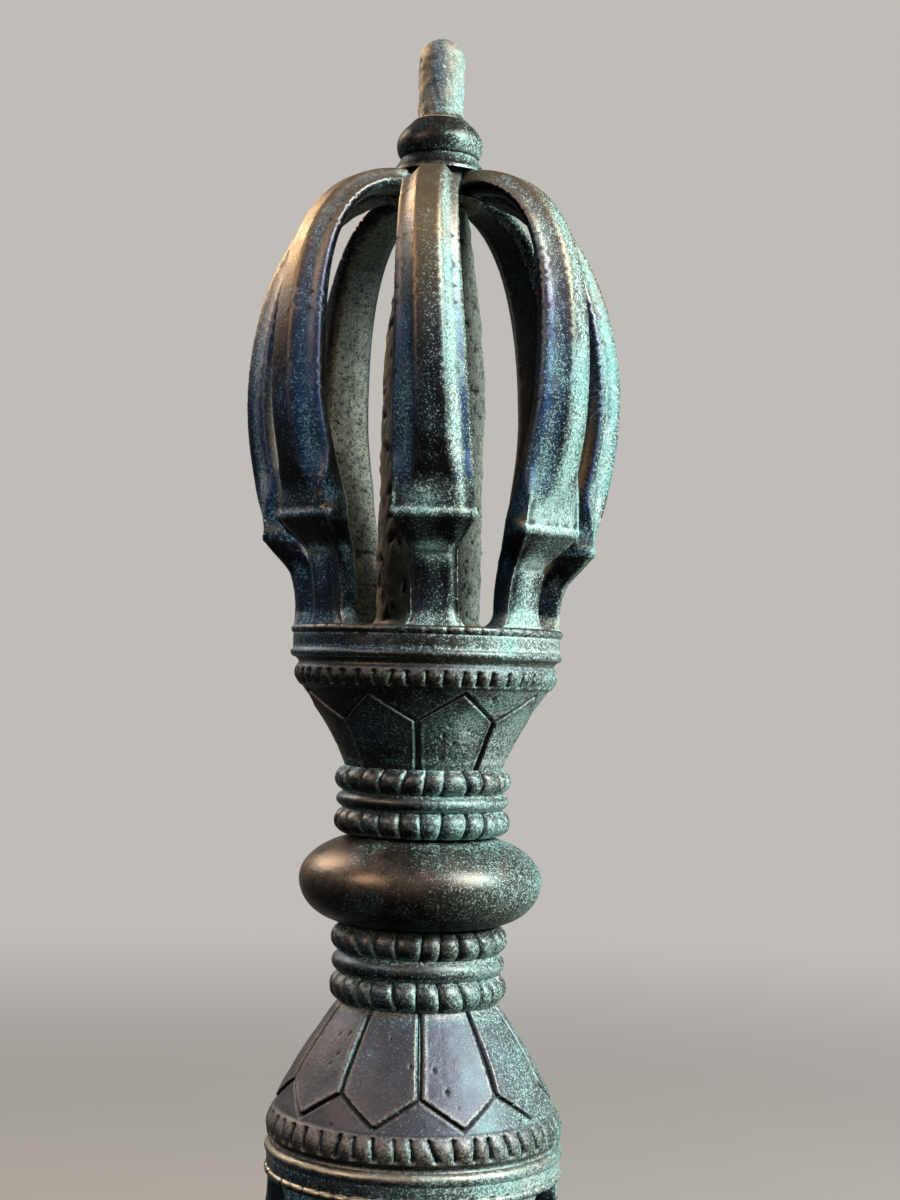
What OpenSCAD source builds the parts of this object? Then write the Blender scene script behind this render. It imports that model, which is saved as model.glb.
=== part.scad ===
// Vajra: a double-headed hand sceptre of cast bronze, built up from separate castings.
// Z is the long axis, the origin is the middle of the bulb, and the first prong faces -Y.
// Each head is a lotus cup, a rim disc, eight bowed prongs round a straight one, and a crown.
// All sizes are in millimetres.

/* [Bulb and neck] */
// Widest radius of the central bulb
bulb_r = 12.9; // [11:0.1:15]
// Height of the bulb along the axis
bulb_h = 9.6; // [8:0.1:12]
// Radius of the flat on each end of the bulb
bulb_flat_r = 5.6; // [4.5:0.1:7]
// Radius of the tie rod through the neck
rod_r = 3; // [2:0.1:3.8]
// Widest radius of the beaded neck rings
bead_ring_r = 9.4; // [8.6:0.1:10.4]
// Widest radius of the plain neck rings
plain_ring_r = 9.2; // [8.6:0.1:10.4]
// Edge rounding of the neck rings
ring_round = 0.8; // [0.3:0.05:0.85]
// Beads round each beaded neck ring
bead_count = 24; // [16:2:32]
// Depth of the nicks between those beads
bead_nick = 0.55; // [0.2:0.05:0.8]

/* [Upper half] */
// Height of the beaded ring next to the bulb
upper_inner_bead_h = 2.7; // [2:0.1:3.6]
// Height of the plain neck ring
upper_plain_h = 1.8; // [1.7:0.1:2.8]
// Height of the beaded ring next to the lotus
upper_outer_bead_h = 2.6; // [2:0.1:3.6]
// Height of the petal cone
upper_lotus_h = 8.4; // [7:0.1:12]
// Radius of the petal cone at the rim end
upper_lotus_r = 13; // [12:0.05:13.2]
// Swell of the petal cone beyond a straight taper
upper_lotus_swell = -0.45; // [-0.6:0.05:0.8]
// Petals round the cone
upper_petals = 8; // [6:1:12]
// Angle of the first petal from the front
upper_petal_turn = 18; // [0:1:60]
// Height of the nicked band
upper_band_h = 2.1; // [1.4:0.1:3.4]
// Radius of the nicked band
upper_band_r = 13.9; // [13.5:0.05:14.2]
// Height of the cove between the nicked band and the rim
upper_cove_h = 0.9; // [0.4:0.1:1.2]
// Radius of the rim at its lip
upper_rim_r = 14.55; // [14.2:0.05:16]
// Thickness of the rounded lip
upper_lip_d = 1; // [0.8:0.05:1.5]
// Widest radius of the prong cage
upper_cage_r = 20.1; // [19:0.1:23]

/* [Lower half] */
// Height of the beaded ring next to the bulb
lower_inner_bead_h = 2.8; // [2:0.1:3.6]
// Height of the plain neck ring
lower_plain_h = 2.2; // [1.7:0.1:2.8]
// Height of the beaded ring next to the lotus
lower_outer_bead_h = 3; // [2:0.1:3.6]
// Height of the petal cone
lower_lotus_h = 11; // [7:0.1:12]
// Radius of the petal cone at the rim end
lower_lotus_r = 14.6; // [13.5:0.05:15]
// Swell of the petal cone beyond a straight taper
lower_lotus_swell = 0.5; // [-0.6:0.05:0.8]
// Petals round the cone
lower_petals = 10; // [6:1:12]
// Angle of the first petal from the front
lower_petal_turn = 20; // [0:1:60]
// Height of the nicked band
lower_band_h = 2.8; // [1.4:0.1:3.4]
// Radius of the nicked band
lower_band_r = 15.5; // [15.1:0.05:15.6]
// Height of the cove between the nicked band and the rim
lower_cove_h = 0.8; // [0.4:0.1:1.2]
// Radius of the rim at its lip
lower_rim_r = 15.75; // [15.4:0.05:17]
// Thickness of the rounded lip
lower_lip_d = 1.4; // [0.8:0.05:1.5]
// Widest radius of the prong cage
lower_cage_r = 21.1; // [19:0.1:23]

/* [Lotus and rim] */
// Radius of the lotus at the neck
waist_r = 8; // [7:0.1:8.8]
// How far the petals stand out from the cone
petal_raise = 0.35; // [0.15:0.05:0.5]
// Width of the groove between petals
petal_gap = 0.4; // [0.2:0.05:0.8]
// Height of the pointed end of each petal
petal_point_h = 2.7; // [1.8:0.1:4]
// Gap left past the petal tips
petal_tip_gap = 0.6; // [0.2:0.05:1]
// How far the nicked band swells between its edges
band_swell = 0.4; // [0:0.05:0.5]
// Nicks round the nicked band and round the rim
nick_count = 48; // [36:4:60]
// Depth of the nicks in the nicked band
band_nick = 0.3; // [0.1:0.05:0.5]
// Plain margin above and below those nicks
nick_margin = 0.3; // [0.2:0.05:0.5]
// Depth of the cove between the nicked band and the rim
cove_depth = 0.3; // [0.05:0.05:0.4]
// Thickness of the rim disc
rim_h = 3.4; // [3.1:0.1:4.5]
// How far the wall above the lip lies inside it
wall_inset = 0.25; // [0.1:0.05:0.4]
// Thickness of the fine bead row round the rim's edge
row_d = 0.9; // [0.6:0.05:1.1]
// Depth of the nicks in the fine bead row
row_nick = 0.18; // [0.05:0.01:0.3]

/* [Prongs] */
// Angle of each prong's foot from the front, as spaced by hand
prong_angles = [3, 45, 88, 129, 173, 218, 264, 311];
// Angle that each prong swings sideways between its foot and the crown, as bent by hand
prong_leans = [-7.5, 5.5, 2, 9, 5, -2, 0, -4];
// Fullness of the curve that takes each prong over to the crown, as bent by hand
prong_bows = [0.76, 0.76, 0.62, 0.68, 0.7, 0.72, 0.66, 0.76];
// Height of the shoulder ledge above the rim on each prong, as cast
prong_ledges = [10.7, 9.5, 8, 8.4, 8.8, 9, 8.9, 10.6];
// Height of the prongs above the rim
prong_h = 48.7; // [46:0.1:52]
// Height of the widest place of the cage above the rim
belly_h = 24.3; // [22:0.1:27]
// Height of the undercut below the ledge
undercut_h = 3.4; // [2.8:0.1:4]
// How far the stem's outer face lies inside the rim's edge
stem_inset = 0.35; // [0.2:0.05:0.8]
// How far the shoulder ledge reaches out past the stem
ledge_out = 3.4; // [2.8:0.1:4]
// Width of the stem
stem_w = 5; // [4:0.1:5.6]
// Thickness of the stem
stem_t = 3; // [2.4:0.1:3.4]
// Width of the blade above the shoulder
blade_w = 8.8; // [7.5:0.1:9]
// Width of the blade below the crown
blade_top_w = 5.8; // [4.8:0.1:6.4]
// Thickness of the blade at the shoulder
ledge_t = 4.8; // [4:0.1:5.4]
// Thickness of the blade at the belly
belly_t = 4.4; // [3.4:0.1:4.8]
// Thickness of the blade at the crown
crown_t = 2.7; // [2.2:0.1:3]
// Width of the raised rib at the crown end of the blade
rib_w = 2.4; // [2:0.1:3]
// Width of the raised rib at the shoulder end of the blade
rib_low_w = 3.3; // [2.8:0.1:4]
// Height of the raised rib
rib_h = 0.75; // [0.3:0.05:1]
// Spread of the stem's foot on the rim
foot_spread = 0.6; // [0.2:0.05:0.7]
// Height of the stem's foot
foot_h = 1.6; // [1:0.1:2]
// Width of the tenon under the foot
tenon_w = 3.4; // [2.6:0.1:3.8]
// Thickness of that tenon
tenon_t = 1.4; // [1:0.1:1.6]
// Length of that tenon
tenon_h = 2.2; // [1.4:0.1:2.6]
// Metal between that tenon and the fine bead row
tenon_wall = 0.7; // [0.5:0.05:0.9]

/* [Central prong and crown] */
// Radius of the straight central prong
shaft_r = 5.5; // [4.8:0.1:6]
// Height above the rim at which it starts to taper
taper_h = 23; // [18:0.5:27]
// Radius of the central prong under the crown
shaft_top_r = 3.1; // [3:0.05:3.5]
// Radius of the fillet at its foot
shaft_fillet = 1.2; // [0.6:0.1:2]
// Radius of the central prong inside the crown
crown_pin_r = 2.85; // [2.7:0.05:2.95]
// Radius of the finial
finial_r = 2.6; // [2.1:0.05:2.65]
// Height of the finial's tip above the rim
finial_h = 63.8; // [61:0.1:67]
// Length of the spigot under the central prong
spigot_l = 10; // [8:0.1:11]
// Wall of the spigot round the tie rod
spigot_wall = 1.5; // [1:0.1:1.7]
// Length of the tie rod inside each spigot
rod_grip = 4; // [3:0.1:6]
// Radius of the crown ring
crown_r = 4.75; // [4.5:0.05:5.2]
// Height of the crown ring
crown_ring_h = 4; // [3.6:0.1:4.8]
// Radius of the crown's neck
crown_neck_r = 4.1; // [3.7:0.05:4.3]
// Height of the ring's widest place above that neck
crown_belly_h = 1.4; // [1.1:0.1:2.2]
// Radius of the crown's hub
hub_r = 5.05; // [4.8:0.05:5.5]
// Height of the flare from the prongs' ends to the neck
flare_h = 2; // [1.4:0.1:2.4]
// Height of the upright edge of the flare over the prongs
skirt_h = 0.3; // [0.1:0.05:0.5]
// Thickness of the hub below the prongs
hub_floor = 0.6; // [0.4:0.05:1]
// Radius of the hub's floor, from which it widens to the prongs
hub_floor_r = 4.4; // [4.2:0.05:4.8]
// Radius at which the prongs end inside the hub
tongue_r = 4.1; // [3.9:0.05:4.4]
// Metal left between neighbouring prongs at the crown
crown_land = 0.3; // [0.2:0.02:0.5]

/* [Fits] */
// Gap round the rod, the spigots and the tenons
fit_gap = 0.05; // [0.02:0.01:0.15]
// Gap under, over and behind the prong ends in the crown
tongue_gap = 0.15; // [0.12:0.01:0.25]

/* [Hidden] */
$fn = 96;
bronze = [0.19, 0.18, 0.16];
prong_count = len(prong_angles);
curve_steps = 12;
band_steps = 4;
stem_steps = 3;
rise_steps = 8;
cut_over = 0.3;
halves = ["upper", "lower"];

// Shape factors of the bulb's and the crown's roundness and of the prongs' cross-section and curves.
bulb_top_fullness = 1.15;
bulb_low_fullness = 0.8;
crown_slope = 2.2;
edge_share = 0.5;
cove_place = 0.5;
cove_sag = 0.55;
rib_slope = 0.7;
foot_sink = 0.9;
soft_edge = 0.3;
face_share = 0.6;
stem_back_share = 0.92;
blade_back_share = 0.72;
ledge_w_share = 0.94;
throat_share = 0.2;
rib_start = 1;
rib_grow = 6;
lip_rise = 0.4;
rise_lean = 0.9;
rise_pull = 4;
belly_pull = 5.5;
bow_pull = 0.75;
crown_rise = 0.2;
even_t_share = 0.8;

// Sizes of one half: low is true for the lower one.
function inner_bead_h(low) = low ? lower_inner_bead_h : upper_inner_bead_h;
function plain_h(low) = low ? lower_plain_h : upper_plain_h;
function outer_bead_h(low) = low ? lower_outer_bead_h : upper_outer_bead_h;
function lotus_h(low) = low ? lower_lotus_h : upper_lotus_h;
function lotus_r(low) = low ? lower_lotus_r : upper_lotus_r;
function lotus_swell(low) = low ? lower_lotus_swell : upper_lotus_swell;
function petals(low) = low ? lower_petals : upper_petals;
function petal_turn(low) = low ? lower_petal_turn : upper_petal_turn;
function band_h(low) = low ? lower_band_h : upper_band_h;
function band_r(low) = low ? lower_band_r : upper_band_r;
function cove_h(low) = low ? lower_cove_h : upper_cove_h;
function rim_r(low) = low ? lower_rim_r : upper_rim_r;
function lip_d(low) = low ? lower_lip_d : upper_lip_d;
function cage_r(low) = low ? lower_cage_r : upper_cage_r;

// Heights of the seats, from the middle of the bulb outwards.
inner_bead_z = bulb_h / 2;
function plain_z(low) = inner_bead_z + inner_bead_h(low);
function outer_bead_z(low) = plain_z(low) + plain_h(low);
function cup_z(low) = outer_bead_z(low) + outer_bead_h(low);
function cup_h(low) = lotus_h(low) + band_h(low) + cove_h(low);
function disc_z(low) = cup_z(low) + cup_h(low);
function rim_z(low) = disc_z(low) + rim_h;
function spigot_z(low) = rim_z(low) - spigot_l;
function rod_end_z(low) = spigot_z(low) + rod_grip;

// Shared fits, and the crown's heights above the rim.
rod_bore_r = rod_r + fit_gap;
spigot_r = rod_bore_r + spigot_wall;
spigot_bore_r = spigot_r + fit_gap;
crown_bore_r = crown_pin_r + fit_gap;
tongue_z = prong_h - crown_t - tongue_gap;
hub_z = tongue_z - hub_floor;
slot_top_z = prong_h + tongue_gap;
skirt_z = slot_top_z + skirt_h;
neck_z = prong_h + flare_h;
crown_belly_z = neck_z + crown_belly_h;
crown_top_z = neck_z + crown_ring_h;
dome_z = finial_h - finial_r;

// Prong radii of one half, and the heights of the ledge and throat of prong number i.
function stem_r(low) = rim_r(low) - stem_inset;
function throat_r(low) = stem_r(low) + ledge_out * throat_share;
function ledge_r(low) = stem_r(low) + ledge_out;
function tenon_r(low) = rim_r(low) - row_d / 2 - tenon_wall;
function ledge_z(i) = prong_ledges[i - 1];
function throat_z(i) = ledge_z(i) - undercut_h;

// The narrowest step between two prongs at the crown sets how wide they can be there.
crown_angles = prong_angles + prong_leans;
function step_after(i) = (crown_angles[(i + 1) % prong_count] - crown_angles[i] + 360) % 360;
least_step = min([for (i = [0 : prong_count - 1]) step_after(i)]);
function crowd_w(r) = 2 * r * tan(least_step / 2) - crown_land;

function lerp(a, b, t) = a + (b - a) * t;
function ease(t) = let (u = max(0, min(1, t))) u * u * (3 - 2 * u);
function bezier(p, t) =
    let (s = 1 - t) s * s * s * p[0] + 3 * s * s * t * p[1] + 3 * s * t * t * p[2] + t * t * t * p[3];
function bezier_dir(p, t) =
    let (
        s = 1 - t,
        d = s * s * (p[1] - p[0]) + 2 * s * t * (p[2] - p[1]) + t * t * (p[3] - p[2])
    ) d / norm(d);

// Turns a piece drawn towards +X so that it faces the angle a from the front.
module facing(a) {
    rotate([0, 0, a - 90]) children();
}

// Draws the children for the upper half, or mirrored below for the lower one.
module half(low) {
    mirror([0, 0, low ? 1 : 0]) children();
}

// A flat ring outline with rounded outer edges, from the bore outwards.
module band_outline(bore, r, h, round_r) {
    translate([bore, 0]) square([r - round_r - bore, h]);
    translate([bore, round_r]) square([r - bore, h - 2 * round_r]);
    for (z = [round_r, h - round_r]) translate([r - round_r, z]) circle(round_r);
}

// V nicks all round a band that runs from radius r at z = 0 to radius end_r at z = h.
module nicks(count, r, end_r, h, depth) {
    side = depth * sqrt(2) + cut_over;
    for (i = [0 : count - 1])
        facing(i * 360 / count)
            translate([r - depth, 0, 0])
                rotate([0, atan((end_r - r) / h), 0])
                    rotate([0, 0, -45])
                        cube([side, side, norm([h, end_r - r])]);
}

module bulb() {
    swell_r = bulb_r - bulb_flat_r;
    profile = [
        for (i = [0 : 2 * curve_steps])
            let (
                a = lerp(-90, 90, i / (2 * curve_steps)),
                fullness = a > 0 ? bulb_top_fullness : bulb_low_fullness
            )
                [bulb_flat_r + swell_r * pow(max(0, cos(a)), fullness), bulb_h / 2 * sin(a)]
    ];
    color(bronze)
        rotate_extrude()
            polygon(concat([[rod_bore_r, -bulb_h / 2]], profile, [[rod_bore_r, bulb_h / 2]]));
}

module core_rod() {
    color(bronze)
        translate([0, 0, -rod_end_z(true)])
            cylinder(r = rod_r, h = rod_end_z(true) + rod_end_z(false));
}

module bead_ring(h) {
    difference() {
        rotate_extrude() band_outline(rod_bore_r, bead_ring_r, h, ring_round);
        translate([0, 0, -cut_over])
            nicks(bead_count, bead_ring_r, bead_ring_r, h + 2 * cut_over, bead_nick);
    }
}

module inner_bead_ring(low) {
    color(bronze) half(low) translate([0, 0, inner_bead_z]) bead_ring(inner_bead_h(low));
}

module outer_bead_ring(low) {
    color(bronze) half(low) translate([0, 0, outer_bead_z(low)]) bead_ring(outer_bead_h(low));
}

module plain_ring(low) {
    color(bronze)
        half(low)
            translate([0, 0, plain_z(low)])
                rotate_extrude() band_outline(rod_bore_r, plain_ring_r, plain_h(low), ring_round);
}

// Radius of the petal cone at the height z above the cup's base, and its outline.
function cone_r(low, z) =
    let (t = z / lotus_h(low)) lerp(waist_r, lotus_r(low), t) + lotus_swell(low) * sin(180 * t);
function cone_line(low, raise) = [
    for (i = [0 : curve_steps])
        let (z = lotus_h(low) * i / curve_steps) [cone_r(low, z) + raise, z]
];

// One petal: a plate on the cone, cut to a five-sided outline that points to the rim.
module petal(low) {
    tip_z = lotus_h(low) - petal_tip_gap;
    wide_z = tip_z - petal_point_h;
    lean = sin(180 / petals(low));
    foot_w = cone_r(low, 0) * lean - petal_gap / 2;
    wide_w = cone_r(low, wide_z) * lean - petal_gap / 2;
    outline = [[-foot_w, 0], [foot_w, 0], [wide_w, wide_z], [0, tip_z], [-wide_w, wide_z]];
    inside_r = spigot_bore_r + cut_over;
    intersection() {
        rotate_extrude()
            polygon(concat(
                [[inside_r, 0]],
                cone_line(low, petal_raise),
                [[inside_r, lotus_h(low)]]
            ));
        rotate([90, 0, 90]) linear_extrude(rim_r(low)) polygon(outline);
    }
}

module lotus_cup(low) {
    start_r = lotus_r(low) + petal_raise;
    band_z = lotus_h(low);
    cove_z = band_z + band_h(low);
    seat_r = rim_r(low) - lip_d(low) / 2;
    rest_z = spigot_z(low) - cup_z(low);
    band_line = [
        for (i = [0 : band_steps])
            let (t = i / band_steps)
                [
                    lerp(start_r, band_r(low), t) + band_swell * sin(180 * t),
                    lerp(band_z, cove_z, t)
                ]
    ];
    cove_line = [
        for (i = [1 : band_steps])
            let (t = i / band_steps)
                [
                    lerp(band_r(low), seat_r, t) - cove_depth * sin(180 * t),
                    cove_z + cove_h(low) * t
                ]
    ];
    color(bronze)
        half(low)
            translate([0, 0, cup_z(low)])
                difference() {
                    union() {
                        rotate_extrude()
                            polygon(concat(
                                [[rod_bore_r, 0]],
                                cone_line(low, 0),
                                band_line,
                                cove_line,
                                [[rod_bore_r, cup_h(low)]]
                            ));
                        for (i = [0 : petals(low) - 1])
                            facing(petal_turn(low) + i * 360 / petals(low)) petal(low);
                    }
                    translate([0, 0, band_z + nick_margin])
                        nicks(
                            nick_count, start_r + band_swell / 2, band_r(low) + band_swell / 2,
                            band_h(low) - 2 * nick_margin, band_nick
                        );
                    translate([0, 0, rest_z])
                        cylinder(r = spigot_bore_r, h = cup_h(low) - rest_z + cut_over);
                }
}

module rim_disc(low) {
    lip_r = lip_d(low) / 2;
    seat_r = rim_r(low) - lip_r;
    wall_r = rim_r(low) - wall_inset;
    row_z = rim_h - row_d;
    row_r = rim_r(low) - row_d / 2;
    mortise_t = tenon_t + 2 * fit_gap;
    mortise_w = tenon_w + 2 * fit_gap;
    color(bronze)
        half(low)
            translate([0, 0, disc_z(low)])
                difference() {
                    rotate_extrude() {
                        polygon([
                            [spigot_bore_r, 0],
                            [seat_r, 0],
                            [seat_r, lip_r],
                            [wall_r, lip_r],
                            [wall_r, row_z + row_d / 2],
                            [row_r, row_z + row_d / 2],
                            [row_r, rim_h],
                            [spigot_bore_r, rim_h]
                        ]);
                        translate([seat_r, lip_r]) circle(lip_r);
                        translate([row_r, row_z + row_d / 2]) circle(row_d / 2);
                    }
                    translate([0, 0, row_z])
                        nicks(nick_count, rim_r(low), rim_r(low), row_d + cut_over, row_nick);
                    for (a = prong_angles)
                        facing(a)
                            translate([
                                tenon_r(low) + fit_gap - mortise_t,
                                -mortise_w / 2,
                                rim_h - tenon_h - fit_gap
                            ])
                                cube([mortise_t, mortise_w, tenon_h + fit_gap + cut_over]);
                }
}

module central_prong(low) {
    taper = [
        for (i = [0 : curve_steps])
            let (t = i / curve_steps)
                [lerp(shaft_top_r, shaft_r, cos(90 * t)), lerp(taper_h, hub_z, t)]
    ];
    fillet = [
        for (i = [0 : curve_steps])
            let (a = 90 * i / curve_steps)
                [shaft_r + shaft_fillet * (1 - sin(a)), shaft_fillet * (1 - cos(a))]
    ];
    color(bronze)
        half(low)
            translate([0, 0, rim_z(low)])
                difference() {
                    union() {
                        translate([0, 0, -spigot_l])
                            cylinder(r = spigot_r, h = spigot_l + cut_over);
                        rotate_extrude() polygon(concat([[0, 0]], fillet, taper, [[0, hub_z]]));
                        translate([0, 0, hub_z - cut_over])
                            cylinder(r = crown_pin_r, h = crown_top_z - hub_z + cut_over);
                        translate([0, 0, crown_top_z - cut_over])
                            cylinder(r = finial_r, h = dome_z - crown_top_z + cut_over);
                        translate([0, 0, dome_z]) sphere(finial_r);
                    }
                    translate([0, 0, -spigot_l - cut_over])
                        cylinder(r = rod_bore_r, h = rod_grip + 2 * cut_over);
                }
}

module crown_collar(low) {
    hub_line = [
        [crown_bore_r, hub_z], [hub_floor_r, hub_z], [hub_r, tongue_z], [hub_r, skirt_z],
        [crown_neck_r, neck_z]
    ];
    under_belly = [
        for (i = [1 : curve_steps])
            let (a = 90 * i / curve_steps)
                [lerp(crown_neck_r, crown_r, sin(a)), lerp(crown_belly_z, neck_z, cos(a))]
    ];
    over_belly = [
        for (i = [1 : curve_steps])
            let (a = 90 * i / curve_steps)
                [
                    lerp(crown_bore_r, crown_r, pow(cos(a), crown_slope)),
                    lerp(crown_belly_z, crown_top_z, sin(a))
                ]
    ];
    slot_r = tongue_r - tongue_gap;
    slot_end_r = hub_r + cut_over;
    slot_w = crowd_w(slot_r) + 2 * fit_gap;
    slot_end_w = crowd_w(slot_end_r) + 2 * fit_gap;
    color(bronze)
        half(low)
            translate([0, 0, rim_z(low)])
                difference() {
                    rotate_extrude() polygon(concat(hub_line, under_belly, over_belly));
                    for (a = crown_angles)
                        facing(a)
                            translate([0, 0, tongue_z])
                                linear_extrude(slot_top_z - tongue_z)
                                    polygon([
                                        [slot_r, -slot_w / 2],
                                        [slot_end_r, -slot_end_w / 2],
                                        [slot_end_r, slot_end_w / 2],
                                        [slot_r, slot_w / 2]
                                    ]);
                }
}

// One cross-section of a prong. It starts on the outer face's centre line at [r, z] and runs
// inwards along dir for the thickness t. A rib stands on the outer face between two coves,
// which fall back from the depth raise beside the rib to the depth drop at the edges.
function section(at, dir, t, rib, raise, drop, edge, inner) =
    let (
        foot = rib + rib_slope * min(1, edge - rib),
        half_line = [
            [rib, 0],
            [foot, raise * foot_sink],
            [lerp(foot, edge, cove_place), lerp(raise, drop, cove_sag)],
            [edge, drop],
            [inner, t]
        ],
        last = len(half_line) - 1
    ) [
        for (side = [-1, 1]) for (i = [0 : last])
            let (p = half_line[side < 0 ? last - i : i])
                [at[0] + dir[0] * p[1], side * p[0] / 2, at[1] + dir[1] * p[1]]
    ];

// The tenon, the foot and the stem, up to the throat.
function stem_sections(low, prong) =
    let (inward = [-1, 0], face = stem_w * face_share, back = stem_w * stem_back_share)
        concat(
            [
                for (z = [-tenon_h, 0])
                    section(
                        [tenon_r(low), z], inward, tenon_t,
                        tenon_w * face_share, 0, 0, tenon_w, tenon_w
                    )
            ],
            [
                for (i = [0 : stem_steps])
                    let (t = i / stem_steps, spread = foot_spread * (1 - t) * (1 - t))
                        section(
                            [stem_r(low), foot_h * t], inward, stem_t + spread,
                            face + spread, soft_edge, soft_edge, stem_w + 2 * spread, back + 2 * spread
                        )
            ],
            [
                for (i = [1 : stem_steps])
                    let (t = i / stem_steps)
                        section(
                            [lerp(stem_r(low), throat_r(low), t * t), lerp(foot_h, throat_z(prong), t)],
                            inward, lerp(stem_t, ledge_t, throat_share * t),
                            face, soft_edge, soft_edge, stem_w, back
                        )
            ]
        );

// The undercut of the shoulder, up to the ledge.
function shoulder_sections(low, prong) = [
    for (i = [1 : stem_steps])
        let (t = i / stem_steps)
            section(
                [lerp(throat_r(low), ledge_r(low), t), lerp(throat_z(prong), ledge_z(prong), t)],
                [-1, 0], lerp(lerp(stem_t, ledge_t, throat_share), ledge_t, t),
                lerp(stem_w, blade_w, t) * face_share, soft_edge, soft_edge,
                lerp(stem_w, blade_w * ledge_w_share, ease(t)),
                lerp(stem_w * stem_back_share, blade_w * blade_back_share, t)
            )
];

// The blade's two curves: up to the belly, then over to the crown.
function rise(low, prong) = [
    [ledge_r(low), ledge_z(prong) + lip_rise],
    [ledge_r(low) + rise_lean, ledge_z(prong) + rise_pull],
    [cage_r(low), belly_h - belly_pull],
    [cage_r(low), belly_h]
];
function over(low, prong) =
    let (bow = prong_bows[prong - 1]) [
        [cage_r(low), belly_h],
        [cage_r(low), lerp(belly_h, prong_h, bow * bow_pull)],
        [lerp(tongue_r, cage_r(low), bow), prong_h - crown_rise],
        [tongue_r, prong_h]
    ];

function blade_section(prong, p, t, thick) =
    let (
        at = bezier(p, t),
        d = bezier_dir(p, t),
        dir = [-d[1], d[0]],
        up = (at[1] - ledge_z(prong)) / (prong_h - ledge_z(prong)),
        grown = ease((at[1] - ledge_z(prong) - rib_start) / rib_grow),
        edge = min(lerp(blade_w, blade_top_w, up), crowd_w(at[0])),
        rib = min(lerp(rib_low_w, rib_w, up), edge * face_share),
        inner = min(edge * blade_back_share, crowd_w(at[0] + dir[0] * thick))
    )
        section(
            at, dir, thick, lerp(edge * face_share, rib, grown),
            lerp(soft_edge, rib_h, grown), lerp(soft_edge, thick * edge_share, grown), edge, inner
        );

function blade_sections(low, prong) =
    concat(
        [
            for (i = [0 : rise_steps])
                let (t = i / rise_steps)
                    blade_section(prong, rise(low, prong), t, lerp(ledge_t, belly_t, ease(t)))
        ],
        [
            for (i = [1 : curve_steps])
                let (t = i / curve_steps)
                    blade_section(prong, over(low, prong), t, lerp(belly_t, crown_t, ease(t / even_t_share)))
        ]
    );

// Swings the cross-sections of a prong sideways, by more the nearer they lie to the crown.
function swung(sections, prong) = [
    for (s = sections) [
        for (p = s)
            let (a = prong_leans[prong - 1] * max(0, min(1, p[2] / hub_z)))
                [p[0] * cos(a) - p[1] * sin(a), p[0] * sin(a) + p[1] * cos(a), p[2]]
    ]
];

// A closed solid through a list of cross-sections with the same number of points.
module loft(sections) {
    rows = len(sections);
    size = len(sections[0]);
    sides = [
        for (i = [0 : rows - 2]) for (j = [0 : size - 1])
            let (
                a = i * size + j,
                b = i * size + (j + 1) % size,
                c = a + size,
                d = b + size
            )
                each [[a, d, b], [a, c, d]]
    ];
    first = [for (j = [1 : size - 2]) [0, j, j + 1]];
    last = [for (j = [1 : size - 2]) let (k = (rows - 1) * size) [k, k + j + 1, k + j]];
    polyhedron([for (s = sections) each s], concat(sides, first, last));
}

module prong(low, i) {
    color(bronze)
        half(low)
            facing(prong_angles[i - 1])
                translate([0, 0, rim_z(low)])
                    loft(swung(
                        concat(
                            stem_sections(low, i),
                            shoulder_sections(low, i),
                            blade_sections(low, i)
                        ),
                        i
                    ));
}

bulb();
core_rod();
for (low = [false, true]) {
    name = halves[low ? 1 : 0];
    inner_bead_ring(low);
    plain_ring(low);
    outer_bead_ring(low);
    lotus_cup(low);
    rim_disc(low);
    central_prong(low);
    crown_collar(low);
    for (i = [1 : prong_count])
        prong(low, i);
}
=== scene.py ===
"""Looks of the cast bronze vajra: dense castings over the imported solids, patina, camera and studio."""

import math
from types import SimpleNamespace

import bpy
import numpy as np
from mathutils import Matrix


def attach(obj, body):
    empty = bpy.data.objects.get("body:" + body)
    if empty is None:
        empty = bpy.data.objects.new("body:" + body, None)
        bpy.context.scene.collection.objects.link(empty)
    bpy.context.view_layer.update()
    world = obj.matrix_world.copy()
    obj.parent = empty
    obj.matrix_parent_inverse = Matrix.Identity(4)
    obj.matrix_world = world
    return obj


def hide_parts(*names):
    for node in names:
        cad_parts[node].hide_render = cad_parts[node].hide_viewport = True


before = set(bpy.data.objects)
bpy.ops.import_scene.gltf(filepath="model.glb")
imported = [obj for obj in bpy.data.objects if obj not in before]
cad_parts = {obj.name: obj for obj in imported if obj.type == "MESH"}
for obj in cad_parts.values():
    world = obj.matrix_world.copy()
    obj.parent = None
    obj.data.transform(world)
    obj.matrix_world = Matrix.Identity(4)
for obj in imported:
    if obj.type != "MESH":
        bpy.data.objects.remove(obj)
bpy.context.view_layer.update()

MM = 0.001

# Sizes in millimetres and degrees, the same as those of the solids. The neck and its bores:
BULB_R = 12.9
BULB_H = 9.6
BULB_FLAT_R = 5.6
BULB_TOP_FULLNESS = 1.15
BULB_LOW_FULLNESS = 0.8
ROD_BORE_R = 3.05
SPIGOT_R = 4.55
SPIGOT_BORE_R = 4.6
BEAD_RING_R = 9.4
PLAIN_RING_R = 9.2
BEAD_COUNT = 24
BEAD_NICK = 0.55

# The lotus cups and the rim discs:
WAIST_R = 8.0
PETAL_RAISE = 0.35
PETAL_GAP = 0.4
PETAL_POINT_H = 2.7
PETAL_TIP_GAP = 0.6
BAND_SWELL = 0.4
NICK_COUNT = 48
BAND_NICK = 0.3
NICK_MARGIN = 0.3
COVE_DEPTH = 0.3
RIM_H = 3.4
WALL_INSET = 0.25
ROW_D = 0.9
ROW_NICK = 0.18

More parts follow.
